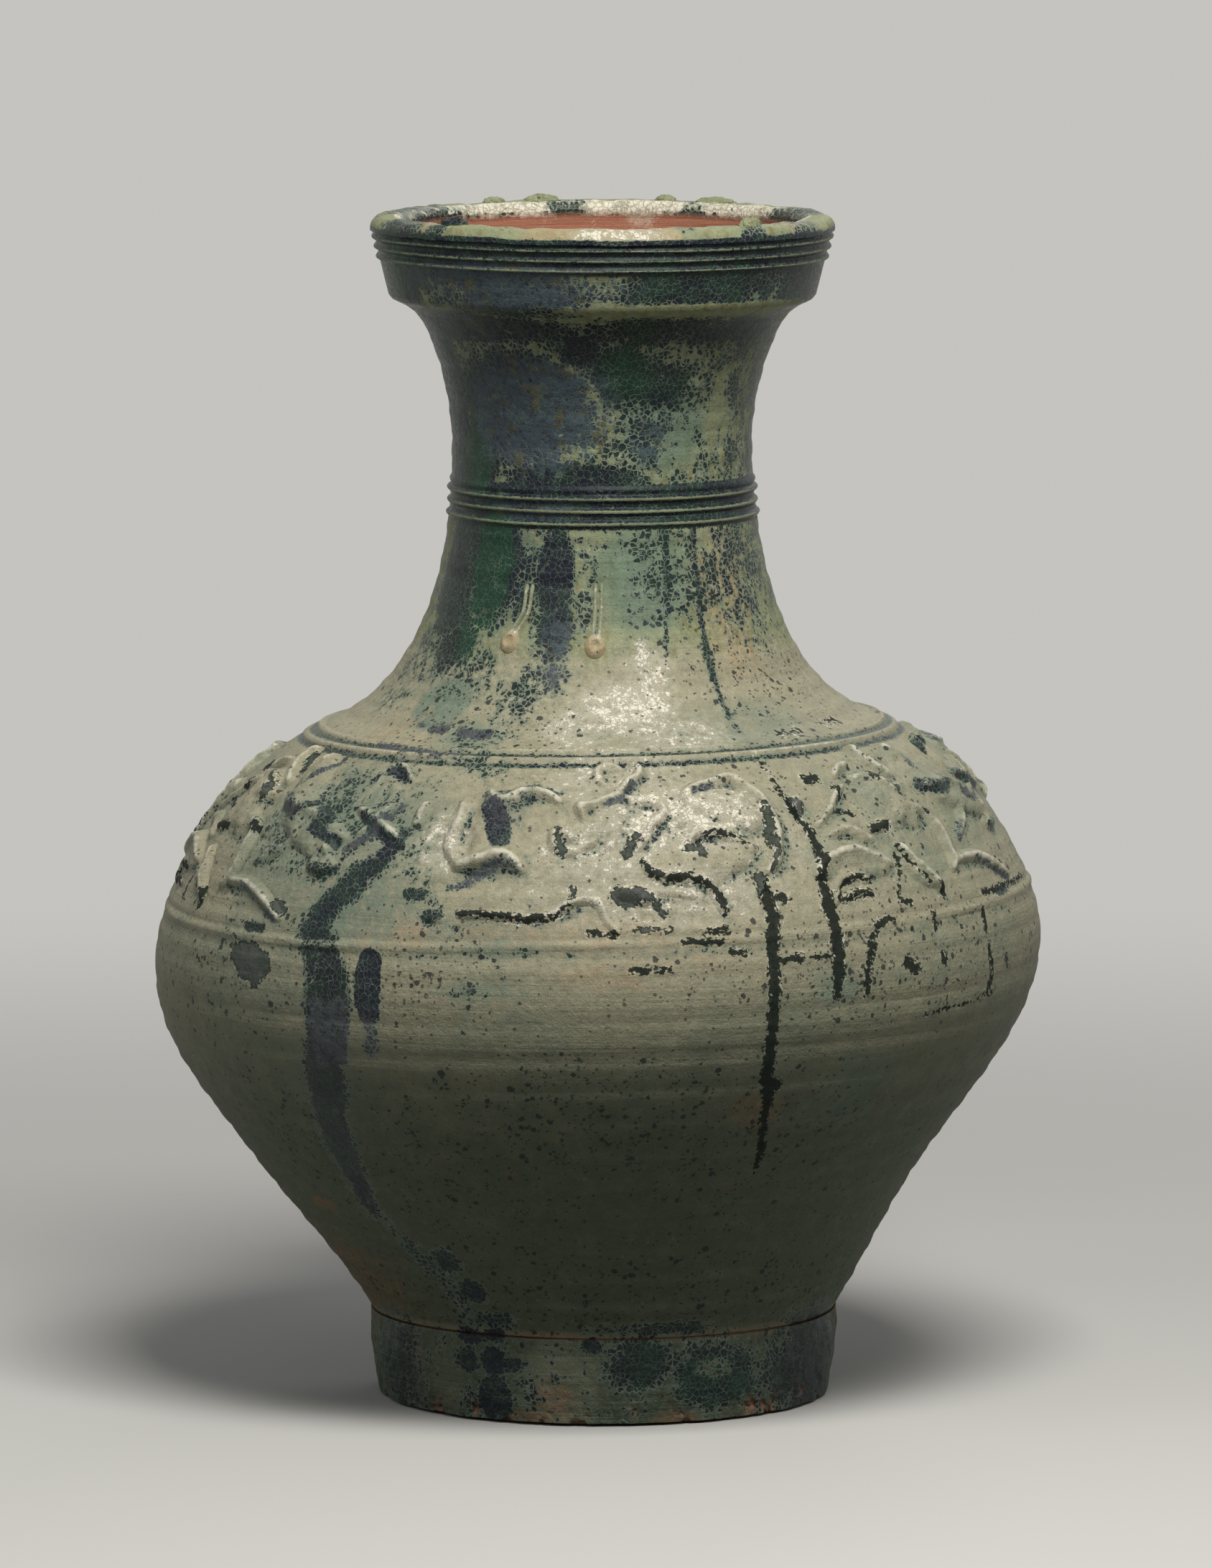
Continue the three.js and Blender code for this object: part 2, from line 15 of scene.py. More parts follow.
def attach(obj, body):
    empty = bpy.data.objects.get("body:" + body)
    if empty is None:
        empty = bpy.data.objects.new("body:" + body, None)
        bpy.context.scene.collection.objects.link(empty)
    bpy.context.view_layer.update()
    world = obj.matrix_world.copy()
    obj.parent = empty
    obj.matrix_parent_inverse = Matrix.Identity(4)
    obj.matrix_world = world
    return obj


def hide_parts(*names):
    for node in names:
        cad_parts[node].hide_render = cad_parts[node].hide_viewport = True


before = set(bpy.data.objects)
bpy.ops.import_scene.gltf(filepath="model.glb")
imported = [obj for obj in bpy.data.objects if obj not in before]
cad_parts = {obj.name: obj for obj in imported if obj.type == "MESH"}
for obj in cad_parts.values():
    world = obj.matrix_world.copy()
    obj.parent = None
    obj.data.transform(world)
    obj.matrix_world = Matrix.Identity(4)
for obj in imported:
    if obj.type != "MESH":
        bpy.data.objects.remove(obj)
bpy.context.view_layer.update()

bl_info = {
    "name": "Glazed Hu Vase",
    "version": (1, 0, 0),
    "blender": (4, 5, 0),
    "location": "3D View > Sidebar > Hu Vase",
    "description": "Builds a glazed hu vase with a moulded frieze, and the studio it stands in",
    "category": "Object",
}

MM = 0.001

# Levels of the joints between the thrown sections, from the standing face up
FOOT_TOP = 28.0
BELLY_LINE = 145.0
SHOULDER_TOP = 219.0
WAIST = 308.0
NECK_TOP = 346.0
LIP_TOP = 380.0

# Outer radii
SOLE_RADIUS = 72.5
FOOT_RADIUS = 75.0
BELLY_BASE_RADIUS = 74.6
SHOULDER_TOP_RADIUS = 86.2
WAIST_RADIUS = 48.2
NECK_TOP_RADIUS = 57.6
DISH_RADIUS = 73.4
LIP_RADIUS = 74.6
LIP_WIDTH = 11.0

# Walls
FOOT_WALL = 15.0
FLOOR_THICKNESS = 9.0
BELLY_WALL = 8.0
NECK_WALL = 7.0

# Levels of the turned ridges of the neck and the dish
NECK_BAND = (285.0, 289.0, 292.9, 295.8)
DISH_BAND = (367.2, 370.4, 373.6)

# Ridges that border the frieze, as runs along the shoulder: one up from its foot, two down from its top
LOWER_BORDER = 17.5
UPPER_BORDERS = (4.4, 9.4)
BORDER_HALF_WIDTH = 1.4
BORDER_MARGIN = 1.5

# Inside of the dish from the lip down, as (radius, level)
DISH_BOWL = (
    (63.2, 374.5), (63.0, 370), (62.4, 365), (61.4, 360.5), (59.4, 357.4), (56.4, 355.2), (53.4, 352.2),
    (51.6, 349.0),
)

# The most facets round the neck, the narrowest section
NECK_STEPS = 600

# How deep a sprig or a tear is sunk into the wall where its relief runs out
SUNK = 0.35
SPRIG_PITCH = 0.72
SPRIG_RADIUS = 120.0
SPRIG_THICKNESS = 1.4
TEAR_THICKNESS = 1.2

# How the vase sagged in the kiln: level, sway towards +X, and tilt (rise per millimetre of x)
LEAN = (
    (0.0, 0.0, 0.0),
    (28.0, 0.0, 0.0),
    (80.65, -3.4, 0.02),
    (145.0, -1.6, 0.03),
    (182.0, -2.2, 0.03),
    (219.0, -0.9, 0.014),
    (263.5, 0.0, 0.0),
    (380.0, 0.0, 0.0),
)

FRIEZE_REPEATS = 3
STRIP = 360.0 / FRIEZE_REPEATS


# ---- settings ----

class HuVaseForm(bpy.types.PropertyGroup):
    """Sizes of the vase that a maker would change."""

    belly_radius: bpy.props.FloatProperty(
        name="Belly Radius", description="Radius of the belly at its widest level",
        default=142.6 * MM, min=0.1, max=0.2, unit="LENGTH")
    ridge_height: bpy.props.FloatProperty(
        name="Ridge Height", description="How far the turned ridges stand off the wall",
        default=1.15 * MM, min=0.0, max=0.003, unit="LENGTH", precision=4)
    relief_height: bpy.props.FloatProperty(
        name="Relief Height",
        description="Height of the moulded frieze, as a multiple of the heights in its table",
        default=1.4, min=0.0, max=2.0, subtype="FACTOR")
    unevenness: bpy.props.FloatProperty(
        name="Unevenness", description="How far the hand-thrown wall strays from true",
        default=1.6 * MM, min=0.0, max=0.004, unit="LENGTH", precision=4)
    round_steps: bpy.props.IntProperty(
        name="Round Steps", description="Facets round each thrown section",
        default=720, min=90, max=1080)


class HuVaseGlaze(bpy.types.PropertyGroup):
    """Colours of the glaze and the clay."""

    buff: bpy.props.FloatVectorProperty(
        name="Buff", description="Weathered tan glaze of the shoulder", subtype="COLOR", size=4,
        default=(0.318, 0.298, 0.203, 1))
    sage: bpy.props.FloatVectorProperty(
        name="Sage", description="Weathered grey-green glaze of the shoulder", subtype="COLOR", size=4,
        default=(0.225, 0.243, 0.172, 1))
    olive: bpy.props.FloatVectorProperty(
        name="Olive", description="Dull deep green of the lower belly and foot", subtype="COLOR", size=4,
        default=(0.060, 0.079, 0.049, 1))
    lime: bpy.props.FloatVectorProperty(
        name="Lime", description="Pale yellow-green of the neck and the ridges", subtype="COLOR", size=4,
        default=(0.25, 0.27, 0.155, 1))
    teal: bpy.props.FloatVectorProperty(
        name="Teal", description="Blue-green glaze at the edges of the runs", subtype="COLOR", size=4,
        default=(0.09, 0.17, 0.135, 1))
    navy: bpy.props.FloatVectorProperty(
        name="Navy", description="Thick glaze, nearly black", subtype="COLOR", size=4,
        default=(0.007, 0.010, 0.020, 1))
    emerald: bpy.props.FloatVectorProperty(
        name="Emerald", description="Unweathered copper-green glaze", subtype="COLOR", size=4,
        default=(0.004, 0.045, 0.020, 1))
    slate: bpy.props.FloatVectorProperty(
        name="Slate", description="Iridescent film on the dark glaze", subtype="COLOR", size=4,
        default=(0.062, 0.088, 0.116, 1))
    # Silver is also the colour of the painted highlights laid by the silver wash
    silver: bpy.props.FloatVectorProperty(
        name="Silver", description="Silvery crust where the light catches it", subtype="COLOR", size=4,
        default=(0.80, 0.76, 0.63, 1))
    clay: bpy.props.FloatVectorProperty(
        name="Clay", description="Bare red earthenware", subtype="COLOR", size=4,
        default=(0.36, 0.155, 0.095, 1))


class HuVaseStudio(bpy.types.PropertyGroup):
    """Floor and lamps."""

    floor: bpy.props.FloatVectorProperty(
        name="Floor", description="Colour of the floor", subtype="COLOR", size=4,
        default=(0.62, 0.61, 0.58, 1))
    key_power: bpy.props.FloatProperty(
        name="Key Power", description="Power of the overhead softbox", default=24.0, min=0.0, unit="POWER")


# ---- profile of the wall ----

def thrown_curve(base, base_slope, base_run, top, top_slope, top_run):
    """Points of a thrown wall, as (radius, level), with the run along it."""
    p = np.array([
        base,
        (base[0] + base_slope * base_run, base[1] + base_run),
        (top[0] - top_slope * top_run, top[1] - top_run),
        top,
    ], dtype=float)
    t = np.linspace(0, 1, 3000)[:, None]
    points = (1 - t) ** 3 * p[0] + 3 * (1 - t) ** 2 * t * p[1] + 3 * (1 - t) * t * t * p[2] + t ** 3 * p[3]
    return Wall(points)


def points_at(azimuth, radius, level):
    """Points in millimetres at azimuths in degrees, radii and levels."""
    a = np.radians(azimuth)
    return np.stack([radius * np.sin(a), -radius * np.cos(a), level], axis=1)


class Wall:
    """An outer wall from bottom to top: radius, level and outward normal at any run."""

    # how far to either side of a run its slope is taken
    REACH = 0.4

    def __init__(self, points):
        self.points = np.asarray(points, dtype=float)
        steps = np.hypot(*np.diff(self.points, axis=0).T)
        self.runs = np.concatenate([[0.0], np.cumsum(steps)])
        self.length = float(self.runs[-1])

    def on_line(self, run):
        return np.interp(run, self.runs, self.points[:, 0]), np.interp(run, self.runs, self.points[:, 1])

    def at(self, run, lift=0.0):
        """Radius and level at a run, lifted off the wall along its normal."""
        r, z = self.on_line(run)
        after, before = self.on_line(run + self.REACH), self.on_line(run - self.REACH)
        dr, dz = after[0] - before[0], after[1] - before[1]
        size = np.hypot(dr, dz)
        return r + dz / size * lift, z - dr / size * lift

    def run_at(self, level):
        return np.interp(level, self.points[:, 1], self.runs)


def make_walls(belly_radius):
    """The five outer walls by name, for a belly of a given radius in millimetres."""
    return {
        "foot_ring": Wall([
            (SOLE_RADIUS, 0.0), (SOLE_RADIUS + 1.3, 8.0), (FOOT_RADIUS, 20.0), (FOOT_RADIUS, FOOT_TOP)]),
        "lower_bowl": thrown_curve(
            (BELLY_BASE_RADIUS, FOOT_TOP), 0.62, 74, (belly_radius, BELLY_LINE), 0, 33),
        "shoulder_dome": thrown_curve(
            (belly_radius, BELLY_LINE), 0, 14.4, (SHOULDER_TOP_RADIUS, SHOULDER_TOP), -2.36, 17.5),
        "neck": Wall(np.concatenate([
            thrown_curve(
                (SHOULDER_TOP_RADIUS, SHOULDER_TOP), -2.36, 14.9, (WAIST_RADIUS, WAIST), 0, 21).points,
            thrown_curve(
                (WAIST_RADIUS, WAIST), 0, 6.8, (NECK_TOP_RADIUS, NECK_TOP), 0.53, 14.1).points[1:]])),
        "mouth_dish": Wall([
            (NECK_TOP_RADIUS, NECK_TOP), (60.2, 349.4), (63.4, 351.7), (66.0, 352.9), (67.6, 353.7),
            (68.6, 355.0), (69.1, 357.0), (71.5, 366.5), (DISH_RADIUS, 375.0)]),
    }


def lean_at(level):
    """Sway and tilt of the sagged wall at each level, eased between the stations of LEAN."""
    level = np.asarray(level, dtype=float)
    stations = np.array(LEAN)
    i = np.clip(np.searchsorted(stations[:, 0], level, side="right") - 1, 0, len(LEAN) - 2)
    low, high = stations[i], stations[i + 1]
    share = np.clip((level - low[..., 0]) / (high[..., 0] - low[..., 0]), 0, 1)
    share = share * share * (3 - 2 * share)
    return (low[..., 1] + (high[..., 1] - low[..., 1]) * share,
            low[..., 2] + (high[..., 2] - low[..., 2]) * share)


def settle(points):
    """Moves true round points (millimetres) to the form as it sagged."""
    sway, tilt = lean_at(points[:, 2])
    settled = points.copy()
    settled[:, 0] = points[:, 0] + sway
    settled[:, 2] = points[:, 2] + points[:, 0] * tilt
    return settled


def smoothstep(value, low, high):
    share = np.clip((value - low) / (high - low), 0, 1)
    return share * share * (3 - 2 * share)


def ripples(points, size, seed=0.0):
    """Smooth noise from -1 to 1 at points in millimetres, with features about `size` across."""
    scaled = points / size + seed
    return np.array([noise.noise(Vector(p)) for p in scaled])


# ---- the moulded frieze ----

# Each figure is a list of strokes: kind, width, height and path. A path's points are (azimuth,
# share of the frieze's height). A mass is a low swelling body, a ridge a modelled line, and a
# hollow a line pressed into it.
FIGURES = {
    "leaping_deer": [
        ("mass", 15, 1.9, [(-58, 0.88), (-55, 0.68), (-50, 0.54), (-44, 0.45)]),
        ("ridge", 4.2, 1.6, [(-58.2, 0.643), (-52.5, 0.63), (-46.8, 0.593), (-40.8, 0.504)]),
        ("ridge", 6.5, 1.6, [(-58.8, 0.93), (-57.0, 0.945)]),
        ("ridge", 3.6, 1.4, [(-56.8, 0.322), (-53.0, 0.40), (-50.2, 0.47)]),
        ("ridge", 3.8, 1.8, [(-61.2, 0.21), (-55.8, 0.206), (-51.0, 0.145), (-46.8, 0.056)]),
        ("ridge", 3.2, 1.7, [(-43.0, 0.458), (-41.8, 0.365), (-44.5, 0.342), (-42.2, 0.315),
                             (-40.2, 0.353)]),
        ("hollow", 3.0, 0.7, [(-55.5, 0.52), (-50.5, 0.43), (-46.0, 0.37)]),
    ],
    "cloud_scroll": [
        ("mass", 9, 1.0, [(-38.5, 0.86), (-36.5, 0.62)]),
        ("ridge", 3.8, 1.8, [(-40.5, 0.663), (-35.8, 0.60), (-30.8, 0.52)]),
        ("ridge", 3.2, 1.5, [(-41.0, 0.717), (-40.0, 0.926), (-37.5, 0.949), (-34.5, 0.875)]),
        ("ridge", 3.2, 1.4, [(-38.4, 0.52), (-36.2, 0.61), (-34.6, 0.70)]),
        ("ridge", 4.6, 1.5, [(-28.5, 0.72), (-28.9, 0.60)]),
        ("hollow", 4.0, 0.8, [(-37.6, 0.80), (-37.2, 0.70)]),
    ],
    "crouching_bear": [
        ("mass", 19, 2.0, [(-14.5, 0.80), (-18.0, 0.62), (-16.5, 0.50), (-13.0, 0.44)]),
        ("ridge", 3.8, 1.5, [(-22.0, 0.748), (-21.5, 0.605), (-21.8, 0.485), (-20.5, 0.40)]),
        ("ridge", 3.4, 1.5, [(-19.5, 0.864), (-16.5, 0.91), (-14.0, 0.922), (-10.5, 0.895)]),
        ("ridge", 3.4, 1.9, [(-17.8, 0.79), (-16.2, 0.732), (-14.2, 0.728), (-12.2, 0.79), (-10.5, 0.813),
                             (-8.2, 0.79), (-6.0, 0.744)]),
        ("ridge", 4.4, 2.1, [(-20.0, 0.369), (-17.5, 0.388), (-13.0, 0.419), (-10.2, 0.357)]),
        ("ridge", 3.0, 1.5, [(-18.5, 0.118), (-14.0, 0.124), (-10.0, 0.11), (-6.2, 0.114), (-3.2, 0.179),
                             (0.2, 0.183), (1.5, 0.094), (2.8, 0.025)]),
        ("ridge", 2.6, 1.0, [(-23.0, 0.098), (-20.4, 0.094)]),
        ("hollow", 5.0, 1.2, [(-19.2, 0.70), (-19.6, 0.56), (-18.8, 0.46)]),
    ],
    "winged_spirit": [
        ("mass", 9, 1.2, [(3.4, 0.78), (2.0, 0.66), (-0.5, 0.56)]),
        ("ridge", 3.0, 1.7, [(3.2, 0.79), (5.2, 0.875), (6.8, 0.91), (7.2, 0.97), (5.8, 1.0)]),
        ("ridge", 2.8, 1.4, [(3.2, 0.79), (1.8, 0.829), (0.2, 0.887), (-0.2, 0.953), (0.8, 0.995), (2.5, 1.0),
                             (4.2, 0.953)]),
        ("ridge", 3.4, 1.8, [(3.2, 0.771), (0.8, 0.744), (-1.5, 0.717), (-2.8, 0.717), (-2.0, 0.64)]),
        ("ridge", 3.4, 1.8, [(4.5, 0.763), (7.0, 0.74), (8.8, 0.728), (10.2, 0.686), (10.0, 0.643),
                             (8.2, 0.585), (7.2, 0.531), (6.0, 0.454)]),
        ("ridge", 3.2, 1.6, [(-2.0, 0.535), (-3.2, 0.524), (-6.0, 0.574), (-6.2, 0.508), (-5.2, 0.458),
                             (-3.0, 0.454), (-0.2, 0.50)]),
        ("ridge", 3.6, 1.0, [(3.4, 0.60), (1.8, 0.46)]),
    ],
    "rearing_tiger": [
        ("mass", 17, 1.8, [(14.5, 0.60), (19.0, 0.66), (23.5, 0.60)]),
        ("mass", 12, 1.3, [(10.0, 0.34), (16.0, 0.36), (21.0, 0.38)]),
        ("ridge", 4.0, 1.9, [(14.0, 0.74), (14.8, 0.79), (17.2, 0.829), (19.0, 0.837), (22.8, 0.86),
                             (25.8, 0.752), (27.0, 0.659), (27.2, 0.508), (26.5, 0.411), (25.8, 0.342),
                             (24.2, 0.284)]),
        ("ridge", 3.4, 1.7, [(13.0, 0.458), (14.5, 0.516), (16.8, 0.524), (18.2, 0.52), (20.2, 0.477),
                             (23.2, 0.415)]),
        ("ridge", 3.2, 1.6, [(6.8, 0.38), (7.8, 0.319), (9.8, 0.292), (11.8, 0.284), (14.0, 0.272),
                             (15.5, 0.241), (16.2, 0.183), (17.2, 0.094)]),
        ("ridge", 5.4, 1.7, [(3.4, 0.225), (5.4, 0.215), (7.3, 0.17)]),
        ("ridge", 2.8, 1.1, [(7.8, 0.222), (10.8, 0.214), (13.5, 0.187)]),
        ("ridge", 3.4, 1.2, [(11.2, 0.38), (11.3, 0.37)]),
        ("hollow", 3.4, 0.8, [(12.0, 0.54), (15.5, 0.60), (19.0, 0.58)]),
    ],
    "hills": [
        ("mass", 9, 1.4, [(32.6, 0.26), (37.7, 0.31), (43.0, 0.24)]),
        ("ridge", 3.6, 1.8, [(31.4, 0.24), (32.8, 0.305), (36.0, 0.345), (38.8, 0.353), (41.8, 0.311),
                             (44.8, 0.253)]),
        ("ridge", 2.6, 1.3, [(33.5, 0.094), (34.2, 0.183), (36.8, 0.218), (39.5, 0.179)]),
        ("ridge", 2.2, 1.0, [(34.5, 0.094), (36.2, 0.125), (39.0, 0.121), (39.6, 0.10)]),
        ("ridge", 7.0, 2.0, [(32.4, 0.65), (32.7, 0.635)]),
        ("ridge", 3.2, 1.5, [(34.5, 0.512), (38.5, 0.62), (41.2, 0.705), (43.5, 0.74)]),
        ("ridge", 4.6, 1.5, [(35.8, 0.454), (39.5, 0.473), (43.0, 0.396)]),
    ],
    "striding_tiger": [
        ("mass", 17, 1.9, [(48.5, 0.74), (50.5, 0.60), (53.5, 0.50)]),
        ("ridge", 3.6, 1.6, [(43.0, 0.81), (44.8, 0.856), (48.2, 0.887)]),
        ("ridge", 5.0, 1.5, [(46.2, 0.775), (46.8, 0.765)]),
        ("ridge", 3.6, 1.7, [(49.0, 0.779), (50.8, 0.748), (52.2, 0.674), (54.2, 0.651), (56.0, 0.686)]),
        ("ridge", 4.4, 2.0, [(53.4, 0.99), (52.8, 0.945), (53.5, 0.864), (56.0, 0.767)]),
        ("ridge", 3.6, 1.5, [(43.5, 0.446), (47.2, 0.466)]),
        ("ridge", 4.4, 1.9, [(47.5, 0.338), (49.2, 0.249), (51.0, 0.168), (53.0, 0.09)]),
        ("ridge", 2.8, 1.3, [(46.6, 0.27), (48.2, 0.187), (50.8, 0.11)]),
        ("ridge", 4.6, 1.6, [(55.0, 0.539), (57.2, 0.50), (58.6, 0.40), (58.8, 0.249), (57.4, 0.17)]),
        ("hollow", 3.4, 0.8, [(51.5, 0.46), (52.6, 0.36), (53.4, 0.26)]),
    ],
}


class Frieze:
    """The frieze as fields over the shoulder: relief height, where glaze pools and a painted shade falls, and
    the crests, where glaze thins and a painted highlight goes.
    """

    LOW = LOWER_BORDER + BORDER_HALF_WIDTH + BORDER_MARGIN
    STEP = 0.5
    TURN = 0.25
    # radius of the wall under it, roughly
    RADIUS = 125.0
    # the worn mould left every stroke broader and softer than it was cut
    SPREAD = 1.35
    WORN = 1.5

    def __init__(self, wall):
        self.wall = wall
        self.high = wall.length - UPPER_BORDERS[1] - BORDER_HALF_WIDTH - BORDER_MARGIN
        self.runs = np.arange(0.0, wall.length + self.STEP, self.STEP)
        self.turns = np.arange(0.0, STRIP, self.TURN)
        self.height = np.zeros((len(self.runs), len(self.turns)))
        self.figures = {}
        for name, strokes in FIGURES.items():
            relief = self.raise_figure(strokes)
            self.figures[name] = relief
            self.height = np.maximum(self.height, relief)
        # the glaze ran down and gathered under the figures; the pool field also holds a painted shade under
        # them and to their right
        soft = self.blur(self.height, 3.0)
        below = np.roll(soft, (-int(1.6 / self.STEP), int(0.7 / self.TURN)), axis=(0, 1))
        self.pool = np.clip(below - self.height, 0, None)
        self.pool /= self.pool.max()
        # painted highlight along the crests of the relief, where the glaze is also thinner
        self.crest = np.clip(self.height - self.blur(self.height, 5.0), 0, None)
        self.crest /= self.crest.max()

    def run_of(self, share):
        return self.LOW + (self.high - self.LOW) * np.asarray(share, dtype=float)

    def raise_figure(self, strokes):
        fields = {kind: np.zeros_like(self.height) for kind in ("mass", "ridge", "hollow")}
        for kind, width, height, path in strokes:
            fields[kind] = np.maximum(fields[kind], height * self.raise_stroke(width, path))
        mass, ridge, hollow = fields.values()
        sharp = np.clip(np.hypot(mass, ridge) + 0.25 * np.minimum(mass, ridge) - hollow, 0, None)
        return 1.15 * self.blur(sharp, self.WORN)

    def raise_stroke(self, width, path):
        """A rounded stroke of height 1 along a smoothed path."""
        points = smooth_path(path)
        runs = self.run_of(points[:, 1])
        nearest = np.full(self.height.shape, 1e9)
        along = np.zeros(self.height.shape)
        lengths = np.linspace(0, 1, len(points))
        for i in range(len(points) - 1):
            radius = self.wall.at((runs[i] + runs[i + 1]) / 2)[0]
            mm = math.radians(1) * radius
            # the strip wraps round, so azimuths are compared the short way
            turn = (self.turns[None, :] - points[i, 0] + STRIP / 2) % STRIP - STRIP / 2
            dx = turn * mm
            dy = self.runs[:, None] - runs[i]
            bx, by = (points[i + 1, 0] - points[i, 0]) * mm, runs[i + 1] - runs[i]
            share = np.clip((dx * bx + dy * by) / (bx * bx + by * by + 1e-9), 0, 1)
            distance = np.hypot(dx - share * bx, dy - share * by)
            closer = distance < nearest
            nearest = np.where(closer, distance, nearest)
            along = np.where(closer, lengths[i] + (lengths[i + 1] - lengths[i]) * share, along)
        swell = 0.6 + 0.4 * np.sqrt(np.clip(np.sin(np.pi * along), 0, 1))
        u = np.clip(nearest / (width / 2 * swell * self.SPREAD), 0, 1)
        return (1 - u * u) ** 1.15 * (0.7 + 0.3 * swell)

    def blur(self, field, size):
        across = size / (math.radians(self.TURN) * self.RADIUS)
        for axis, sigma in ((0, size / self.STEP / 2), (1, across / 2)):
            reach = int(math.ceil(sigma * 3))
            weights = np.exp(-0.5 * (np.arange(-reach, reach + 1) / sigma) ** 2)
            weights /= weights.sum()
            mode = [(0, 0), (0, 0)]
            mode[axis] = (reach, reach)
            padded = np.pad(field, mode, mode="edge" if axis == 0 else "wrap")
            field = sum(w * np.take(padded, range(k, k + field.shape[axis]), axis=axis)
                        for k, w in enumerate(weights))
        return field

    def sample(self, field, azimuth, run):
        """Reads a field between its grid points."""
        u = (np.asarray(azimuth) % STRIP) / self.TURN
        v = np.clip(np.asarray(run) / self.STEP, 0, len(self.runs) - 1.001)
        i, j = np.floor(v).astype(int), np.floor(u).astype(int)
        fv, fu = v - i, u - j
        count = len(self.turns)
        j0, j1 = j % count, (j + 1) % count
        return ((field[i, j0] * (1 - fu) + field[i, j1] * fu) * (1 - fv)
                + (field[i + 1, j0] * (1 - fu) + field[i + 1, j1] * fu) * fv)


def smooth_path(path, steps=6):
    """A smooth line of points through a path."""
    p = np.array(path, dtype=float)
    if len(p) < 3:
        return p
    ends = np.concatenate([[2 * p[0] - p[1]], p, [2 * p[-1] - p[-2]]])
    line = []
    for i in range(1, len(ends) - 2):
        a, b, c, d = ends[i - 1:i + 3]
        for t in np.linspace(0, 1, steps, endpoint=False):
            line.append(0.5 * (2 * b + (c - a) * t + (2 * a - 5 * b + 4 * c - d) * t * t
                               + (3 * b - a - 3 * c + d) * t ** 3))
    line.append(p[-1])
    return np.array(line)


# ---- marks of the glaze: (azimuth, level, half width) paths ----

# Runs of thick, crackled, nearly black glaze: strength, softness of the edge in millimetres, path
DARK_RUNS = [
    (1.05, 4.5, [(-30.5, 193.8, 3.0), (-32.8, 186.5, 4.5), (-35.0, 181.8, 5.0), (-37.8, 175.3, 5.0),
                 (-39.8, 169.9, 5.0), (-40.0, 164.6, 6.0), (-38.0, 158.2, 7.5), (-37.0, 151.9, 8.0),
                 (-36.5, 142.9, 9.0), (-36.8, 133.7, 8.5), (-38.0, 123.9, 8.0), (-39.0, 113.9, 7.5),
                 (-41.0, 100.6, 6.5), (-41.8, 90.5, 5.5), (-42.2, 80.0, 4.5), (-43.5, 70.9, 3.5)]),
    (0.62, 3.0, [(-42.5, 72, 3), (-38, 56, 4), (-34, 42, 4.5), (-32, 31, 4)]),
    (1.6, 1.0, [(-30.5, 157.5, 4.0), (-30.5, 152.7, 4.6), (-30.5, 146.0, 4.6), (-30.2, 141.4, 3.6)]),
    (0.7, 5.0, [(-30.5, 141, 3.0), (-30.2, 128, 2.5)]),
    (1.3, 1.5, [(-16.5, 200.9, 3.4), (-15.2, 197.4, 3.8), (-14.2, 193.1, 3.2)]),
    (0.62, 7.0, [(-23.5, 224, 6), (-21.8, 229.1, 7), (-20.8, 236.4, 6), (-20.2, 242.7, 5)]),
    (0.85, 1.6, [(35.5, 284, 1.8), (35, 270, 1.4), (34, 246, 1.3), (33, 229, 1.1), (32, 221, 0.9)]),
    (0.8, 2.2, [(23.5, 284, 2.0), (22.5, 262, 1.6), (20, 244, 1.0)]),
    (0.5, 3.5, [(-18.5, 161, 1.4), (-7.5, 161, 1.4)]),
    (0.5, 3.5, [(-19.5, 149, 1.6), (-12, 148.7, 1.6)]),
    (0.45, 6.0, [(-25, 178, 5), (-22, 172, 4), (-19, 166, 3)]),
    (0.55, 5.0, [(-33, 219, 3), (-25, 215, 4), (-18, 212, 3)]),
    (0.8, 4.0, [(118, 330, 8), (112, 300, 9), (104, 262, 8), (98, 236, 6)]),
    (0.85, 4.0, [(108, 205, 7), (104, 182, 8), (106, 150, 9), (101, 112, 7), (97, 76, 5), (92, 40, 4)]),
    (0.7, 4.0, [(163, 320, 10), (158, 284, 8), (166, 248, 7), (160, 222, 6)]),
    (0.95, 4.0, [(-160, 214, 6), (-156, 190, 8), (-159, 158, 10), (-153, 118, 8), (-150, 80, 5),
                 (-146, 44, 4)]),
    (1.5, 1.2, [(142, 168, 3.4), (142, 160, 4.2), (141.6, 150, 3.6)]),
    (0.75, 4.0, [(-118, 344, 9), (-114, 306, 10), (-110, 268, 8), (-101, 238, 6)]),
    (0.6, 4.0, [(-98, 206, 5), (-95, 180, 7), (-99, 150, 7), (-94, 124, 5), (-90, 96, 4)]),
]

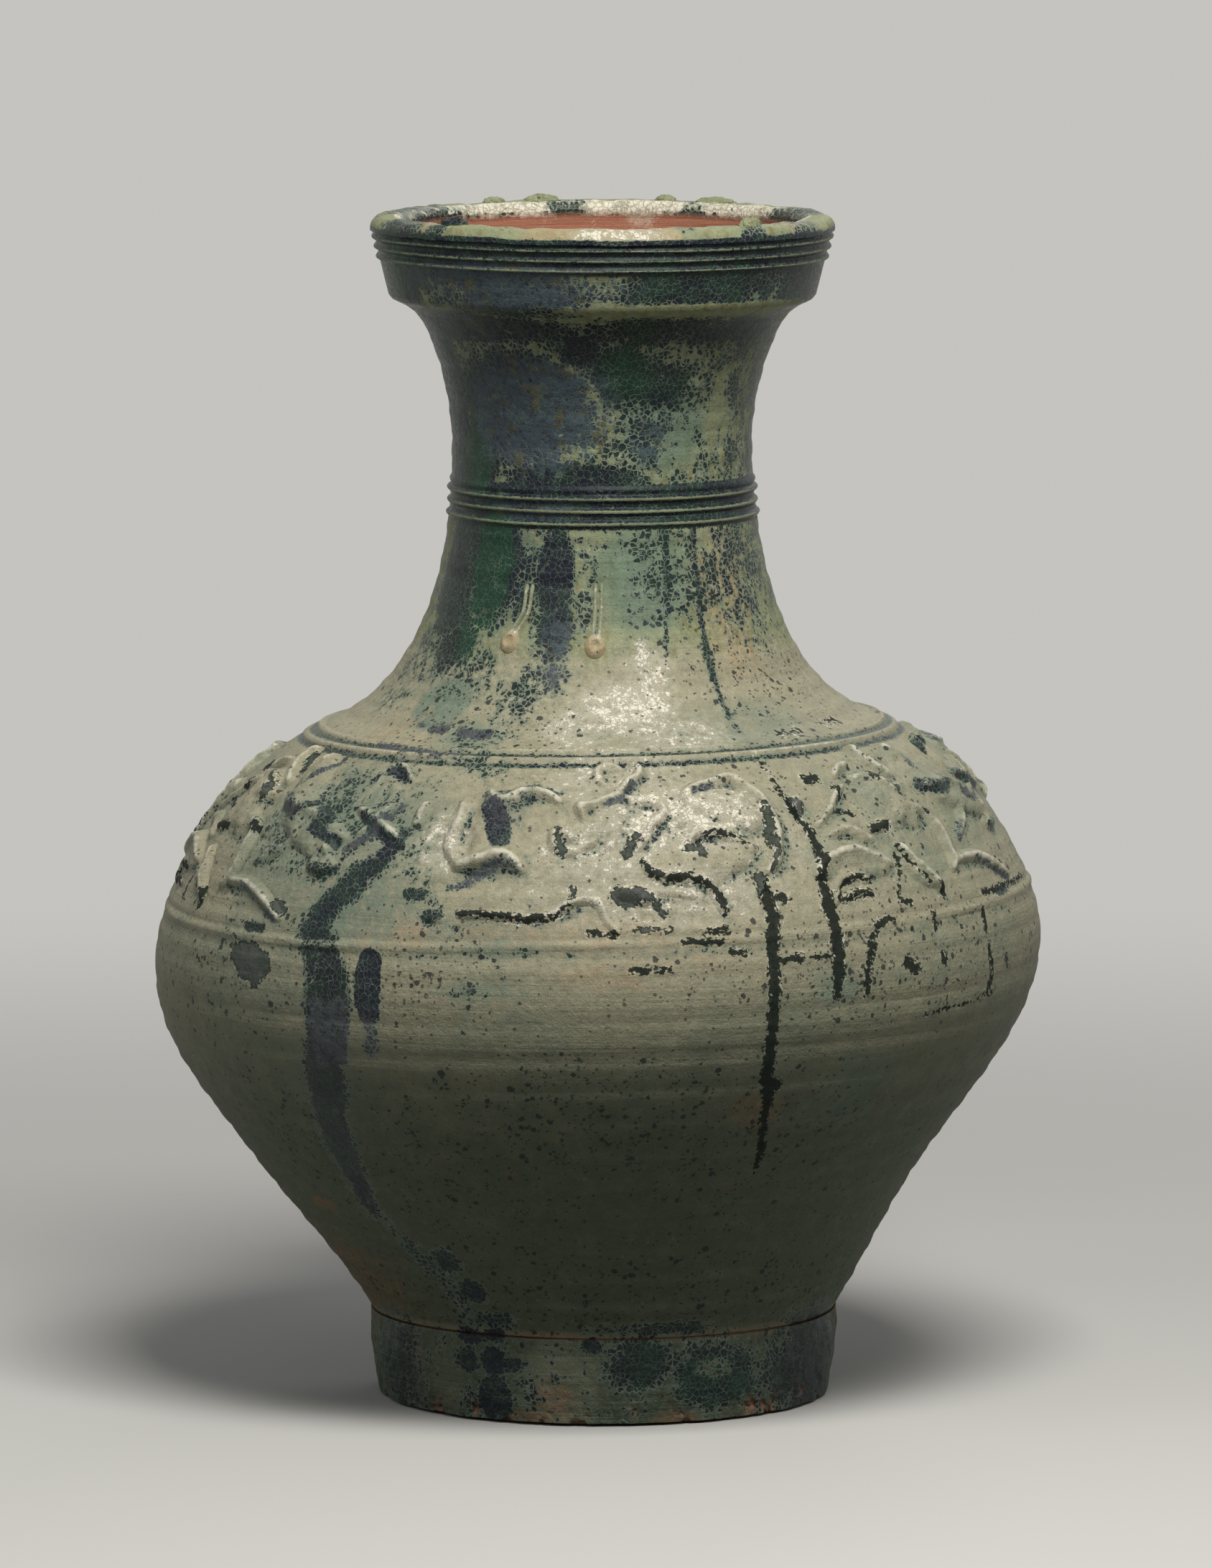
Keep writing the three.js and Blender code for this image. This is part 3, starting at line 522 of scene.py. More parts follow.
# Small marks: ink is a crisp green-black line, blot a patch of thick glaze, grey a pool down to a
# dull skin and slate a purple-grey one
FRIEZE_MARKS = [
    ("grey", [(3.0, 177.0, 2.4), (4.5, 175.5, 3.0), (6.0, 176.8, 2.6), (7.2, 175.3, 1.5),
              (9.2, 171.0, 1.0)]),
    ("ink", [(6.5, 186.7, 0.8), (7.8, 183.0, 0.9), (10.0, 180.9, 0.9), (12.8, 180.9, 1.0),
             (15.0, 179.0, 1.0), (16.5, 175.9, 1.3), (17.2, 170.6, 1.2)]),
    ("grey", [(13.2, 189.6, 1.2), (15.0, 189.6, 1.6), (15.2, 187.4, 1.2)]),
    ("ink", [(15.2, 192.1, 0.4), (17.2, 193.3, 0.7), (19.2, 192.3, 0.6), (21.2, 190.7, 0.5),
             (23.5, 188.2, 0.3)]),
    ("grey", [(5.8, 193.6, 1.4), (4.5, 189.6, 1.7)]),
    ("grey", [(26.5, 199.9, 1.0), (26.5, 196.1, 1.4), (25.8, 191.3, 1.6), (26.5, 186.9, 1.0),
              (24.8, 180.7, 0.6)]),
    ("slate", [(-18.0, 204.7, 1.2), (-15.5, 202.8, 1.8), (-13.5, 204.2, 1.7), (-11.0, 206.8, 1.4),
               (-6.5, 206.2, 0.9)]),
    ("slate", [(-20.2, 179.6, 0.8), (-17.8, 181.1, 1.3), (-15.8, 184.1, 1.6), (-12.5, 187.2, 1.9),
               (-10.5, 184.9, 1.0)]),
    ("ink", [(-18.5, 172.4, 0.7), (-16.2, 172.2, 1.0), (-12.5, 171.3, 1.0), (-8.8, 170.4, 1.1),
             (-5.5, 171.3, 0.9), (-3.0, 174.8, 0.5)]),
    ("ink", [(-0.8, 166.5, 1.1), (2.5, 165.3, 0.9)]),
    ("grey", [(5.0, 166.7, 0.9), (9.5, 166.2, 0.8)]),
    ("grey", [(-3.0, 179.4, 0.9), (-3.2, 176.4, 0.7)]),
    ("slate", [(1.2, 202.1, 1.0), (3.8, 203.9, 1.2), (5.8, 208.4, 0.8)]),
    ("slate", [(15.2, 205.8, 1.0), (19.2, 207.4, 1.3)]),
    ("grey", [(-5.8, 195.5, 1.1), (-4.8, 189.8, 1.6)]),
    ("grey", [(23.0, 179.8, 2.0), (22.8, 175.9, 2.0)]),
    ("slate", [(-57.0, 205.2, 0.8), (-55.0, 209.5, 0.9), (-55.2, 213.8, 0.6)]),
    ("blot", [(-58.2, 199.5, 1.6), (-53.5, 197.0, 1.8), (-50.2, 199.0, 1.0)]),
    ("blot", [(-47.2, 193.8, 1.4), (-45.0, 192.1, 1.6), (-41.5, 190.7, 1.2)]),
    ("blot", [(-48.0, 199.0, 1.2), (-44.5, 195.7, 1.3)]),
    ("blot", [(-40.2, 200.0, 1.0), (-35.8, 195.7, 1.6), (-30.2, 190.7, 1.4)]),
    ("slate", [(-39.5, 189.4, 1.0), (-36.0, 193.8, 1.4), (-35.0, 197.7, 1.2), (-32.5, 202.8, 1.2)]),
    ("blot", [(-41.8, 208.6, 1.0), (-38.8, 210.7, 1.4), (-35.0, 209.0, 0.8)]),
    ("blot", [(-44.5, 183.9, 0.9), (-41.8, 182.8, 1.2), (-39.8, 183.9, 0.9)]),
    ("slate", [(-56.8, 183.4, 1.2), (-53.8, 186.7, 1.2), (-52.0, 188.4, 0.8)]),
    ("slate", [(-57.0, 176.8, 0.8), (-53.0, 174.0, 1.0), (-50.2, 169.9, 1.0), (-47.8, 167.4, 0.9)]),
    ("grey", [(-48.2, 172.6, 1.8), (-47.0, 170.4, 2.0)]),
    ("blot", [(-52.8, 164.6, 1.1), (-49.8, 164.6, 1.2)]),
    ("blot", [(-26.5, 177.9, 1.2), (-24.5, 177.3, 1.2)]),
    ("blot", [(-23.0, 170.8, 1.4), (-21.2, 171.0, 1.1)]),
    ("grey", [(55.0, 211.3, 1.4), (56.5, 208.9, 1.4)]),
    ("grey", [(49.5, 204.9, 0.8), (52.2, 202.8, 1.0), (54.2, 199.7, 1.8)]),
    ("ink", [(37.2, 206.5, 1.4), (39.5, 206.5, 1.3)]),
    ("ink", [(41.5, 202.8, 1.0), (41.0, 200.4, 0.9)]),
    ("ink", [(39.0, 196.3, 0.8), (42.0, 195.3, 0.8)]),
    ("ink", [(44.2, 190.0, 1.4), (47.5, 190.7, 1.6)]),
    ("ink", [(57.2, 192.7, 1.2), (59.0, 191.7, 1.3)]),
    ("ink", [(47.0, 184.1, 0.3), (48.0, 178.3, 0.5), (50.5, 172.4, 0.5)]),
    ("ink", [(52.8, 171.7, 1.6), (52.8, 168.1, 1.7)]),
    ("ink", [(33.8, 171.0, 0.5), (35.5, 175.9, 0.8), (37.5, 176.8, 1.0), (40.5, 175.5, 0.6)]),
    ("ink", [(35.0, 170.6, 1.1), (36.8, 172.2, 1.2), (39.0, 172.2, 1.1), (39.5, 170.8, 0.8)]),
    ("ink", [(46.5, 181.3, 0.9), (45.8, 176.8, 0.5), (44.5, 172.6, 0.6), (43.8, 168.5, 0.7),
             (45.8, 167.4, 0.8)]),
]
LONE_MARKS = [
    # the two long cracks of the front, with their short branch
    ("ink", [(24.0, 179.6, 0.4), (23.2, 173.5, 2.0), (23.8, 168.3, 2.0), (23.2, 163.0, 2.2),
             (22.8, 154.9, 1.9), (22.8, 145.5, 1.8), (22.5, 136.7, 1.8), (22.8, 127.4, 2.0),
             (23.0, 118.0, 2.2), (24.2, 110.5, 1.8), (24.8, 103.0, 1.4), (26.2, 92.9, 1.2),
             (26.8, 85.3, 0.7)]),
    ("ink", [(23.0, 118.0, 1.2), (24.8, 114.7, 2.0)]),
    ("ink", [(30.8, 213.9, 0.4), (30.8, 209.2, 0.5), (31.0, 201.9, 0.7), (31.8, 195.7, 0.9),
             (33.0, 191.5, 1.4), (33.2, 186.9, 1.7), (32.8, 181.6, 1.6), (32.0, 176.8, 1.5),
             (32.2, 171.9, 2.2), (32.2, 165.3, 2.1), (32.2, 158.7, 2.0), (32.0, 151.9, 2.3),
             (31.5, 141.7, 1.3)]),
    ("grey", [(32.2, 200.2, 2.4), (32.2, 197.6, 2.4)]),
    ("ink", [(41.8, 163.7, 0.9), (39.8, 163.0, 1.3), (38.2, 159.9, 1.1), (37.2, 155.4, 1.4),
             (36.2, 148.7, 1.0), (36.0, 141.4, 0.9)]),
    ("ink", [(24.5, 174.0, 1.2), (26.2, 172.8, 1.2)]),
    ("ink", [(23.2, 154.4, 1.0), (26.5, 154.9, 1.3)]),
    ("ink", [(28.0, 155.1, 0.7), (30.8, 154.4, 0.8)]),
    ("ink", [(42.8, 149.7, 1.8), (44.5, 147.0, 1.8)]),
    ("ink", [(49.5, 163.0, 0.9), (49.0, 158.2, 0.8)]),
    ("ink", [(61.0, 160.4, 1.2), (60.5, 154.1, 0.9)]),
    ("ink", [(49.5, 150.7, 1.1), (49.8, 147.0, 1.1)]),
    ("ink", [(60.5, 148.7, 1.2), (61.0, 142.9, 1.4)]),
    ("ink", [(61.2, 139.4, 1.5), (60.5, 135.0, 1.4)]),
    ("ink", [(46.2, 132.3, 0.6), (53.8, 133.2, 0.5), (62.5, 134.2, 0.5)]),
    ("ink", [(11.5, 162.3, 1.0), (16, 161.8, 1.1)]),
    ("ink", [(4.5, 154.6, 1.0), (9.5, 154.2, 0.9)]),
    ("ink", [(17.5, 158.5, 1.0), (19.5, 158, 1.2)]),
    ("ink", [(14, 165, 0.8), (17, 165.2, 1.2)]),
    # dark lines beside the border ridges: glaze in their grooves, and right of the front a painted shadow
    # under the lower ridge
    ("slate", [(-50.5, 216.8, 0.8), (-40.8, 215.7, 1.1), (-34.5, 215.6, 1.1), (-26.8, 215.4, 0.7)]),
    ("slate", [(-46.2, 222.6, 0.8), (-37.8, 222.0, 1.2)]),
    ("slate", [(-33.2, 221.6, 1.2), (-25.5, 221.2, 1.3)]),
    ("ink", [(40.5, 219.2, 0.3), (47.5, 219.4, 0.5)]),
    ("ink", [(56.8, 220.1, 0.3), (63.5, 220.7, 0.7)]),
    ("ink", [(62.2, 165.5, 0.8), (75.5, 165.8, 1.0), (81.0, 166.0, 0.8)]),
    # a bare matt patch on the left, a pit on the right
    ("grey", [(-53.4, 156.5, 4.2), (-51.0, 154.3, 6.6), (-48.6, 153.2, 5.0), (-49.4, 147, 1.6)]),
    ("grey", [(65.5, 144.4, 1.2), (65.7, 143.6, 1.2)]),
    # the far side
    ("ink", [(140, 208, 0.8), (141, 190, 1.4), (139.5, 170, 1.0), (140.5, 150, 1.5), (140, 131, 0.9)]),
    ("ink", [(-128, 182, 0.8), (-127, 168, 1.5), (-128.5, 150, 1.6), (-127.4, 128, 1.4),
             (-126.4, 104, 1.0)]),
    ("ink", [(-92, 176, 0.5), (-91, 160, 1.3), (-91.6, 146, 1.0)]),
    ("grey", [(130, 163, 4.0), (131, 155, 4.6)]),
    ("grey", [(-140, 124, 4.4), (-138, 116, 3.6)]),
    ("ink", [(172, 206, 0.8), (171, 188, 1.2), (171.6, 172, 0.8)]),
]

# Washes of tone: azimuth, level, reach round the vase in degrees, reach up in millimetres, strength
# silvery crust round the vase, and on the front painted highlights: the glare at the foot of the neck, the
# lit tops of the frieze and of the lip
SILVER_AND_HIGHLIGHT_WASH = [
    (14, 240, 6, 8, 1.0), (7, 229, 13, 8, 1.08), (-5, 224, 9, 6, 0.85), (18, 221, 12, 5, 0.8),
    (3, 211, 14, 8, 0.7), (14, 198, 13, 10, 1.0), (2, 190, 10, 9, 0.8), (-23, 193, 4.5, 9, 0.8),
    (10, 176, 16, 9, 0.75), (-6, 178, 7, 8, 0.5), (-44, 196, 8, 6, 0.15), (52, 205, 8, 6, 0.45),
    (46, 190, 9, 8, 0.3), (27, 189, 8, 9, 0.55), (4, 378, 12, 4, 0.9), (150, 235, 20, 12, 0.6),
    (128, 195, 18, 12, 0.7), (-110, 205, 18, 12, 0.6), (-140, 180, 18, 10, 0.5), (172, 190, 16, 12, 0.6),
]
TEAL_WASH = [
    (-45, 229, 9, 7, 1.1), (-55, 238, 8, 8, 0.5), (-32, 220, 10, 5, 0.6), (-40, 200, 14, 10, 0.45),
    (-33, 172, 9, 12, 0.7), (-22, 165, 7, 10, 0.55), (-12, 162, 9, 3, 0.6), (-14, 149, 8, 3, 0.55),
    (-30, 270, 6, 18, 0.7), (14, 268, 17, 17, 0.95), (24, 316, 17, 14, 1.0), (32, 145, 4, 7, 0.7),
    (38, 112, 8, 14, 0.55), (43, 80, 9, 12, 0.4), (-60, 150, 12, 12, 0.3), (50, 362, 24, 8, 0.6),
    (-44, 120, 6, 18, 0.4), (120, 120, 30, 40, 0.35), (-120, 220, 40, 18, 0.45), (180, 280, 50, 40, 0.5),
    (-165, 90, 30, 26, 0.3),
]
DARK_WASH = [
    (-72, 322, 13, 30, 1.25), (-55, 306, 13, 12, 1.25), (-33, 322, 30, 19, 1.15), (-8, 341, 7, 6, 1.3),
    (6, 333, 11, 12, 1.05), (22, 329, 10, 8, 1.1), (18, 312, 14, 12, 0.75), (-12, 299, 28, 6, 1.1),
    (52, 316, 18, 28, 0.58), (80, 320, 14, 30, 0.72), (-48, 347, 40, 5, 1.1), (28, 346.5, 50, 5, 0.95),
    (0, 322, 180, 32, 0.62), (-42, 272, 12, 20, 1.2), (-62, 268, 12, 20, 1.2), (-52, 247, 9, 11, 0.95),
    (-28, 268, 6, 16, 0.78), (-17, 270, 7, 14, 1.15), (-15, 252, 6, 11, 0.95), (-13, 238, 5, 7, 0.66),
    (4, 276, 11, 10, 0.5), (17, 270, 14, 16, 0.5), (54, 268, 20, 22, 0.60), (-68, 240, 9, 14, 0.55),
    (-40, 238, 13, 9, 0.5), (0, 270, 180, 20, 0.50), (-43, 202, 14, 10, 0.50), (-52, 192, 9, 11, 0.38),
    (-44, 186, 7, 7, 0.45), (-28, 186, 4, 7, 0.5), (-28, 362, 34, 11, 0.95), (-75, 362, 20, 13, 1.25),
    (28, 362, 30, 8, 0.95), (72, 362, 24, 13, 0.9), (0, 372.5, 180, 4.0, 1.15), (180, 364, 100, 12, 0.9),
    (-28, 7, 4.5, 7, 1.5), (-28, 19.5, 3, 4.5, 1.4), (-28, 28, 3.5, 2.5, 1.1), (-36, 19, 4, 4, 1.1),
    (-34.5, 27, 4, 3, 1.1), (-36, 8, 5, 5, 0.7), (-22, 18.5, 3.4, 2.4, 1.1), (-5, 11, 2.6, 2.6, 1.2),
    (-3, 25.5, 3, 2.4, 1.2), (8, 20, 10, 9, 0.9), (29, 15, 13, 12, 0.85), (62, 14, 20, 18, 0.95),
    (-62, 12, 12, 18, 0.8), (-29, 43, 3.5, 4, 1.0), (-32, 54, 3, 4.5, 0.9), (-27, 33, 7, 3, 0.8),
    (13, 31, 15, 2.6, 0.8), (0, 12, 180, 16, 0.36), (-62, 378, 10, 4, 1.2), (-46, 378.5, 4, 3, 1.1),
    (21, 379, 3, 2, 0.9), (40, 378, 5, 3, 1.1), (62, 378, 8, 4, 1.1), (105, 378, 18, 5, 1.1),
    (-112, 378, 24, 5, 1.1), (152, 379, 5, 4, 0.9), (-168, 379, 7, 4, 1.0), (110, 330, 36, 34, 0.95),
    (170, 330, 44, 34, 1.0), (-130, 330, 44, 40, 1.05), (-100, 285, 18, 24, 0.75), (175, 285, 13, 24, 0.7),
    (120, 14, 24, 12, 0.85), (-140, 16, 26, 12, 0.8), (178, 20, 14, 10, 0.85),
]
PALE_WASH = [
    (30, 354.2, 34, 1.6, 1.0), (48, 318, 7, 10, 0.45), (30, 309, 7, 7, 0.3), (-11, 13, 9, 13, 0.9),
    (-43, 14, 6, 10, 0.5), (28, 17.5, 4, 3, 0.6), (0, 365, 8, 5, 0.3), (3, 262, 4, 12, 0.35),
]
EMERALD_WASH = [
    (-55, 305, 8, 12, 1.1), (-53, 318, 6, 8, 0.6), (-43, 270, 8, 20, 1.1), (7, 334, 10, 12, 0.6),
    (-68, 366, 12, 12, 0.7), (30, 362, 26, 8, 0.35), (-46, 248, 6, 8, 0.6), (10, 19, 9, 8, 0.35),
    (30, 13, 12, 9, 0.45), (-38, 205, 16, 12, 0.25), (110, 300, 9, 26, 0.8), (-165, 320, 9, 20, 0.8),
    (120, 12, 20, 9, 0.5),
]
SLATE_WASH = [
    (-26, 320, 30, 17, 1.1), (-28, 362, 34, 8, 0.9), (-45, 338, 20, 8, 0.5), (20, 312, 14, 10, 0.6),
    (-14, 244, 6, 14, 0.7), (3, 262, 5, 16, 0.5), (-36, 134, 9, 12, 0.7), (-31, 132, 4, 10, 0.8),
    (-36, 163, 7, 12, 0.3), (-30, 290, 22, 5, 0.6), (-40, 347, 30, 4, 0.5), (140, 320, 26, 20, 0.8),
    (-100, 318, 26, 18, 0.8), (-160, 362, 40, 8, 0.8), (-157, 140, 9, 30, 0.5),
]
SPECKLE_WASH = [
    (0, 108, 26, 18, 0.75), (40, 152, 24, 16, 0.8), (-22, 156, 8, 16, 0.8), (24, 95, 16, 26, 0.6),
    (-55, 150, 14, 20, 0.55), (50, 245, 24, 24, 0.9), (-34, 228, 18, 12, 0.9), (-18, 225, 10, 10, 0.8),
    (-20, 85, 14, 30, 0.5), (-48, 100, 10, 26, 0.5), (30, 200, 30, 18, 0.35), (-50, 200, 20, 16, 0.6),
    (0, 40, 80, 14, 0.7), (130, 150, 50, 40, 0.6), (-120, 150, 50, 40, 0.6), (180, 230, 80, 26, 0.6),
    (180, 80, 90, 40, 0.5),
]
GREEN_WASH = [
    (0, 0, 500, 60, 0.5), (-45, 190, 20, 24, 0.8), (-60, 150, 20, 22, 0.55), (55, 195, 26, 24, 0.5),
    (35, 222, 28, 8, 0.5), (0, 222, 60, 5, 0.4), (-15, 165, 10, 7, 0.5), (-14, 150, 9, 5, 0.5),
    (50, 150, 22, 10, 0.5), (0, 104, 170, 36, 0.5), (20, 92, 80, 36, 0.5), (120, 190, 44, 34, 0.65),
    (-130, 190, 44, 34, 0.7), (180, 150, 50, 40, 0.45), (180, 100, 90, 36, 0.7),
]
RUST_WASH = [
    (22.5, 107, 4, 6, 0.6), (-13, 8, 5, 6, 0.8), (-55, 19, 3, 6, 0.9), (-17, 1, 7, 3.5, 1.2),
    (19, 1, 6, 2.4, 1.0), (44, 1, 6, 2.4, 0.8), (-13, 378, 7, 3.5, 1.1), (5, 378, 8, 3.5, 1.0),
    (15, 378, 5, 3, 0.9), (-52, 378, 6, 3, 0.7), (58, 379, 5, 3, 0.7), (-70, 40, 24, 18, 0.5),
    (-57, 70.3, 3.5, 1.6, 1.3), (10, 152, 30, 6, 0.25), (-8, 166, 26, 6, 0.35), (-48, 220, 12, 8, 0.3),
    (46, 262, 12, 24, 0.65), (-34, 182, 10, 8, 0.35), (60, 28, 40, 3, 0.5),
]


def turn_between(a, b):
    """The short way round from azimuth b to azimuth a, in degrees."""
    return (np.asarray(a) - b + 180.0) % 360.0 - 180.0


def wash(table, azimuth, level):
    """The strongest of a table's washes at each point, nearly even inside its reach and soft at its edge."""
    total = np.zeros_like(azimuth)
    for centre, height, about, up, strength in table:
        reach = (turn_between(azimuth, centre) / about) ** 2 + ((level - height) / up) ** 2
        total = np.maximum(total, strength * np.exp(-0.5 * reach ** 2.2))
    return total


# The wall leans, so a millimetre of level is a little more along it
SLANT = 1.12


def path_distance(path, azimuth, level, radius, limit=6.0):
    """Distance in millimetres to the edge of a path of varying half width (inside is negative)."""
    turns, levels, widths = np.array(path, dtype=float).T
    nearest = np.full_like(azimuth, limit)
    reach = widths.max() + limit
    middle, spread = (turns.min() + turns.max()) / 2, (turns.max() - turns.min()) / 2
    near = (level > levels.min() - reach) & (level < levels.max() + reach)
    near &= np.abs(turn_between(azimuth, middle)) - spread < np.degrees(reach / np.maximum(radius, 30.0))
    if not near.any():
        return nearest
    azimuth, level, mm = azimuth[near], level[near], np.radians(1) * radius[near]
    found = np.full_like(azimuth, limit)
    for (a0, z0, w0), (a1, z1, w1) in zip(path, path[1:]):
        dx = turn_between(azimuth, a0) * mm
        dy = (level - z0) * SLANT
        bx, by = (a1 - a0) * mm, (z1 - z0) * SLANT
        share = np.clip((dx * bx + dy * by) / (bx * bx + by * by + 1e-9), 0, 1)
        found = np.minimum(found, np.hypot(dx - share * bx, dy - share * by) - (w0 + (w1 - w0) * share))
    nearest[near] = found
    return nearest


def glaze_marks(azimuth, level, radius):
    """The glaze's tones at points on the outside, as a dictionary of values per point."""
    azimuth, level, radius = (np.asarray(values, dtype=float) for values in (azimuth, level, radius))
    run = np.zeros_like(azimuth)
    for strength, soft, path in DARK_RUNS:
        gap = path_distance(path, azimuth, level, radius, soft + 1)
        run = np.maximum(run, strength * smoothstep(-gap, -soft, soft * 0.8))
    lines = {kind: np.full_like(azimuth, 6.0) for kind in ("ink", "blot", "grey", "slate")}
    for repeat in range(FRIEZE_REPEATS):
        marks = FRIEZE_MARKS + (LONE_MARKS if repeat == 0 else [])
        for kind, path in marks:
            turned = [(a + repeat * STRIP, z, w) for a, z, w in path]
            lines[kind] = np.minimum(lines[kind], path_distance(turned, azimuth, level, radius))
    purple = smoothstep(-lines["slate"], -1.6, 0.8)
    pale = wash(PALE_WASH, azimuth, level)
    dark = np.maximum(run, wash(DARK_WASH, azimuth, level)) - pale
    dark = np.maximum(dark, np.maximum(0.85 * purple, 1.1 * smoothstep(-lines["blot"], -2.2, 0.8)))
    seam = np.exp(-((level - FOOT_TOP - 0.5) / 1.1) ** 2)
    return {
        "dark": np.clip(dark, 0, 1.6),
        "ink": np.clip(lines["ink"], -3, 6),
        "grey": np.clip(lines["grey"], -3, 6),
        # silvery crust, and painted highlights on the front
        "silver": wash(SILVER_AND_HIGHLIGHT_WASH, azimuth, level),
        "teal": np.maximum(wash(TEAL_WASH, azimuth, level), 1.2 * run * np.clip(1 - run, 0, 1)),
        "emerald": wash(EMERALD_WASH, azimuth, level),
        "slate": np.maximum(wash(SLATE_WASH, azimuth, level), purple),
        "speckle": wash(SPECKLE_WASH, azimuth, level),
        "green": wash(GREEN_WASH, azimuth, level) * (1 - 0.7 * seam),
        "olive": smoothstep(level, 178, 84) * (1 - 0.6 * seam) * (1 - 0.55 * np.clip(pale, 0, 1)),
        "lime": smoothstep(level, 226, 262),
        "rust": np.maximum(wash(RUST_WASH, azimuth, level), 0.7 * seam),
    }


# ---- modelling helpers ----

def deselect_all():
    if bpy.context.object and bpy.context.object.mode != "OBJECT":
        bpy.ops.object.mode_set(mode="OBJECT")
    bpy.ops.object.select_all(action="DESELECT")


def read_points(obj):
    """Vertex positions in millimetres."""
    flat = np.empty(len(obj.data.vertices) * 3)
    obj.data.vertices.foreach_get("co", flat)
    return flat.reshape(-1, 3) / MM


def write_points(obj, points):
    obj.data.vertices.foreach_set("co", (points * MM).ravel())
    obj.data.update()


def write_marks(obj, marks):
    for name, values in marks.items():
        attribute = obj.data.attributes.new(name, "FLOAT", "POINT")
        attribute.data.foreach_set("value", np.asarray(values, dtype=np.float32))


def thicken(obj, depth):
    """Gives a sheet a body under its face, some millimetres deep."""
    body = obj.modifiers.new("body", "SOLIDIFY")
    body.thickness = depth * MM
    body.offset = -1
    bpy.ops.object.modifier_apply(modifier="body")


def spin_profile(name, profile, steps, on_axis=False):
    """A closed profile of (radius, level) in millimetres, turned round the vase's axis."""
    deselect_all()
    bpy.ops.mesh.primitive_circle_add(vertices=len(profile), radius=0.01, fill_type="NOTHING")
    obj = bpy.context.active_object
    obj.name = obj.data.name = name
    write_points(obj, np.array([(r, 0.0, z) for r, z in profile]))
    if on_axis:
        # the run along the axis itself would turn into nothing, so its edge is cut first
        last = len(profile) - 1
        for edge in obj.data.edges:
            edge.select = set(edge.vertices) == {0, last}
        for vertex in obj.data.vertices:
            vertex.select = vertex.index in (0, last)
        bpy.ops.object.mode_set(mode="EDIT")
        bpy.ops.mesh.select_mode(type="EDGE")
        bpy.ops.mesh.delete(type="EDGE_FACE")
        bpy.ops.mesh.select_mode(type="VERT")
        bpy.ops.object.mode_set(mode="OBJECT")
    wheel = obj.modifiers.new("wheel", "SCREW")
    wheel.axis = "Z"
    wheel.angle = math.tau
    wheel.steps = wheel.render_steps = steps
    wheel.use_merge_vertices = True
    wheel.merge_threshold = 1e-5
    bpy.ops.object.modifier_apply(modifier="wheel")
    bpy.ops.object.mode_set(mode="EDIT")
    bpy.ops.mesh.select_all(action="SELECT")
    bpy.ops.mesh.remove_doubles(threshold=1e-5)
    bpy.ops.mesh.normals_make_consistent(inside=False)
    bpy.ops.object.mode_set(mode="OBJECT")
    return obj


def stations(wall, pitch, fine=(), fine_pitch=0.45, reach=3.0, start=0.0, stop=None):
    """Runs along a wall at an even pitch, closer together near the runs in `fine`."""
    stop = wall.length if stop is None else stop
    runs = list(np.linspace(start, stop, max(2, int(round((stop - start) / pitch)) + 1)))
    near = lambda run: any(abs(run - f) < reach for f in fine)
    kept = [run for i, run in enumerate(runs) if i in (0, len(runs) - 1) or not near(run)]
    for f in fine:
        kept += [run for run in np.arange(f - reach, f + reach + 1e-6, fine_pitch) if start < run < stop]
    kept = sorted(kept)
    spaced = [kept[0]]
    for run in kept[1:-1]:
        if run - spaced[-1] > fine_pitch * 0.6:
            spaced.append(run)
    if kept[-1] - spaced[-1] < fine_pitch * 0.6:
        spaced.pop()
    return spaced + [kept[-1]]


def inner_points(wall, below, above, pitch=5.0, start=0.0):
    """Inner side of a wall, from top to bottom."""
    count = max(3, int((wall.length - start) / pitch))
    runs = np.linspace(wall.length, start, count)
    return [wall.at(run, -(below + (above - below) * run / wall.length)) for run in runs]


def finish_piece(obj, form):
    """Lets the piece sag with the vase, roughens it by hand and smooths its shading."""
    write_points(obj, settle(read_points(obj)))
    for axis in "XYZ":
        texture = bpy.data.textures.get("hand_" + axis)
        if texture is None:
            texture = bpy.data.textures.new("hand_" + axis, "CLOUDS")
            texture.noise_scale = {"X": 0.085, "Y": 0.105, "Z": 0.13}[axis]
            texture.noise_depth = 1
        stray = obj.modifiers.new("hand_" + axis, "DISPLACE")
        stray.texture = texture
        stray.texture_coords = "LOCAL"
        stray.direction = axis
        stray.mid_level = 0.5
        stray.strength = form.unevenness * (0.5 if axis == "Z" else 1.0)
    deselect_all()
    bpy.context.view_layer.objects.active = obj
    obj.select_set(True)
    for axis in "XYZ":
        bpy.ops.object.modifier_apply(modifier="hand_" + axis)
    bpy.ops.object.shade_smooth_by_angle(angle=math.radians(48))


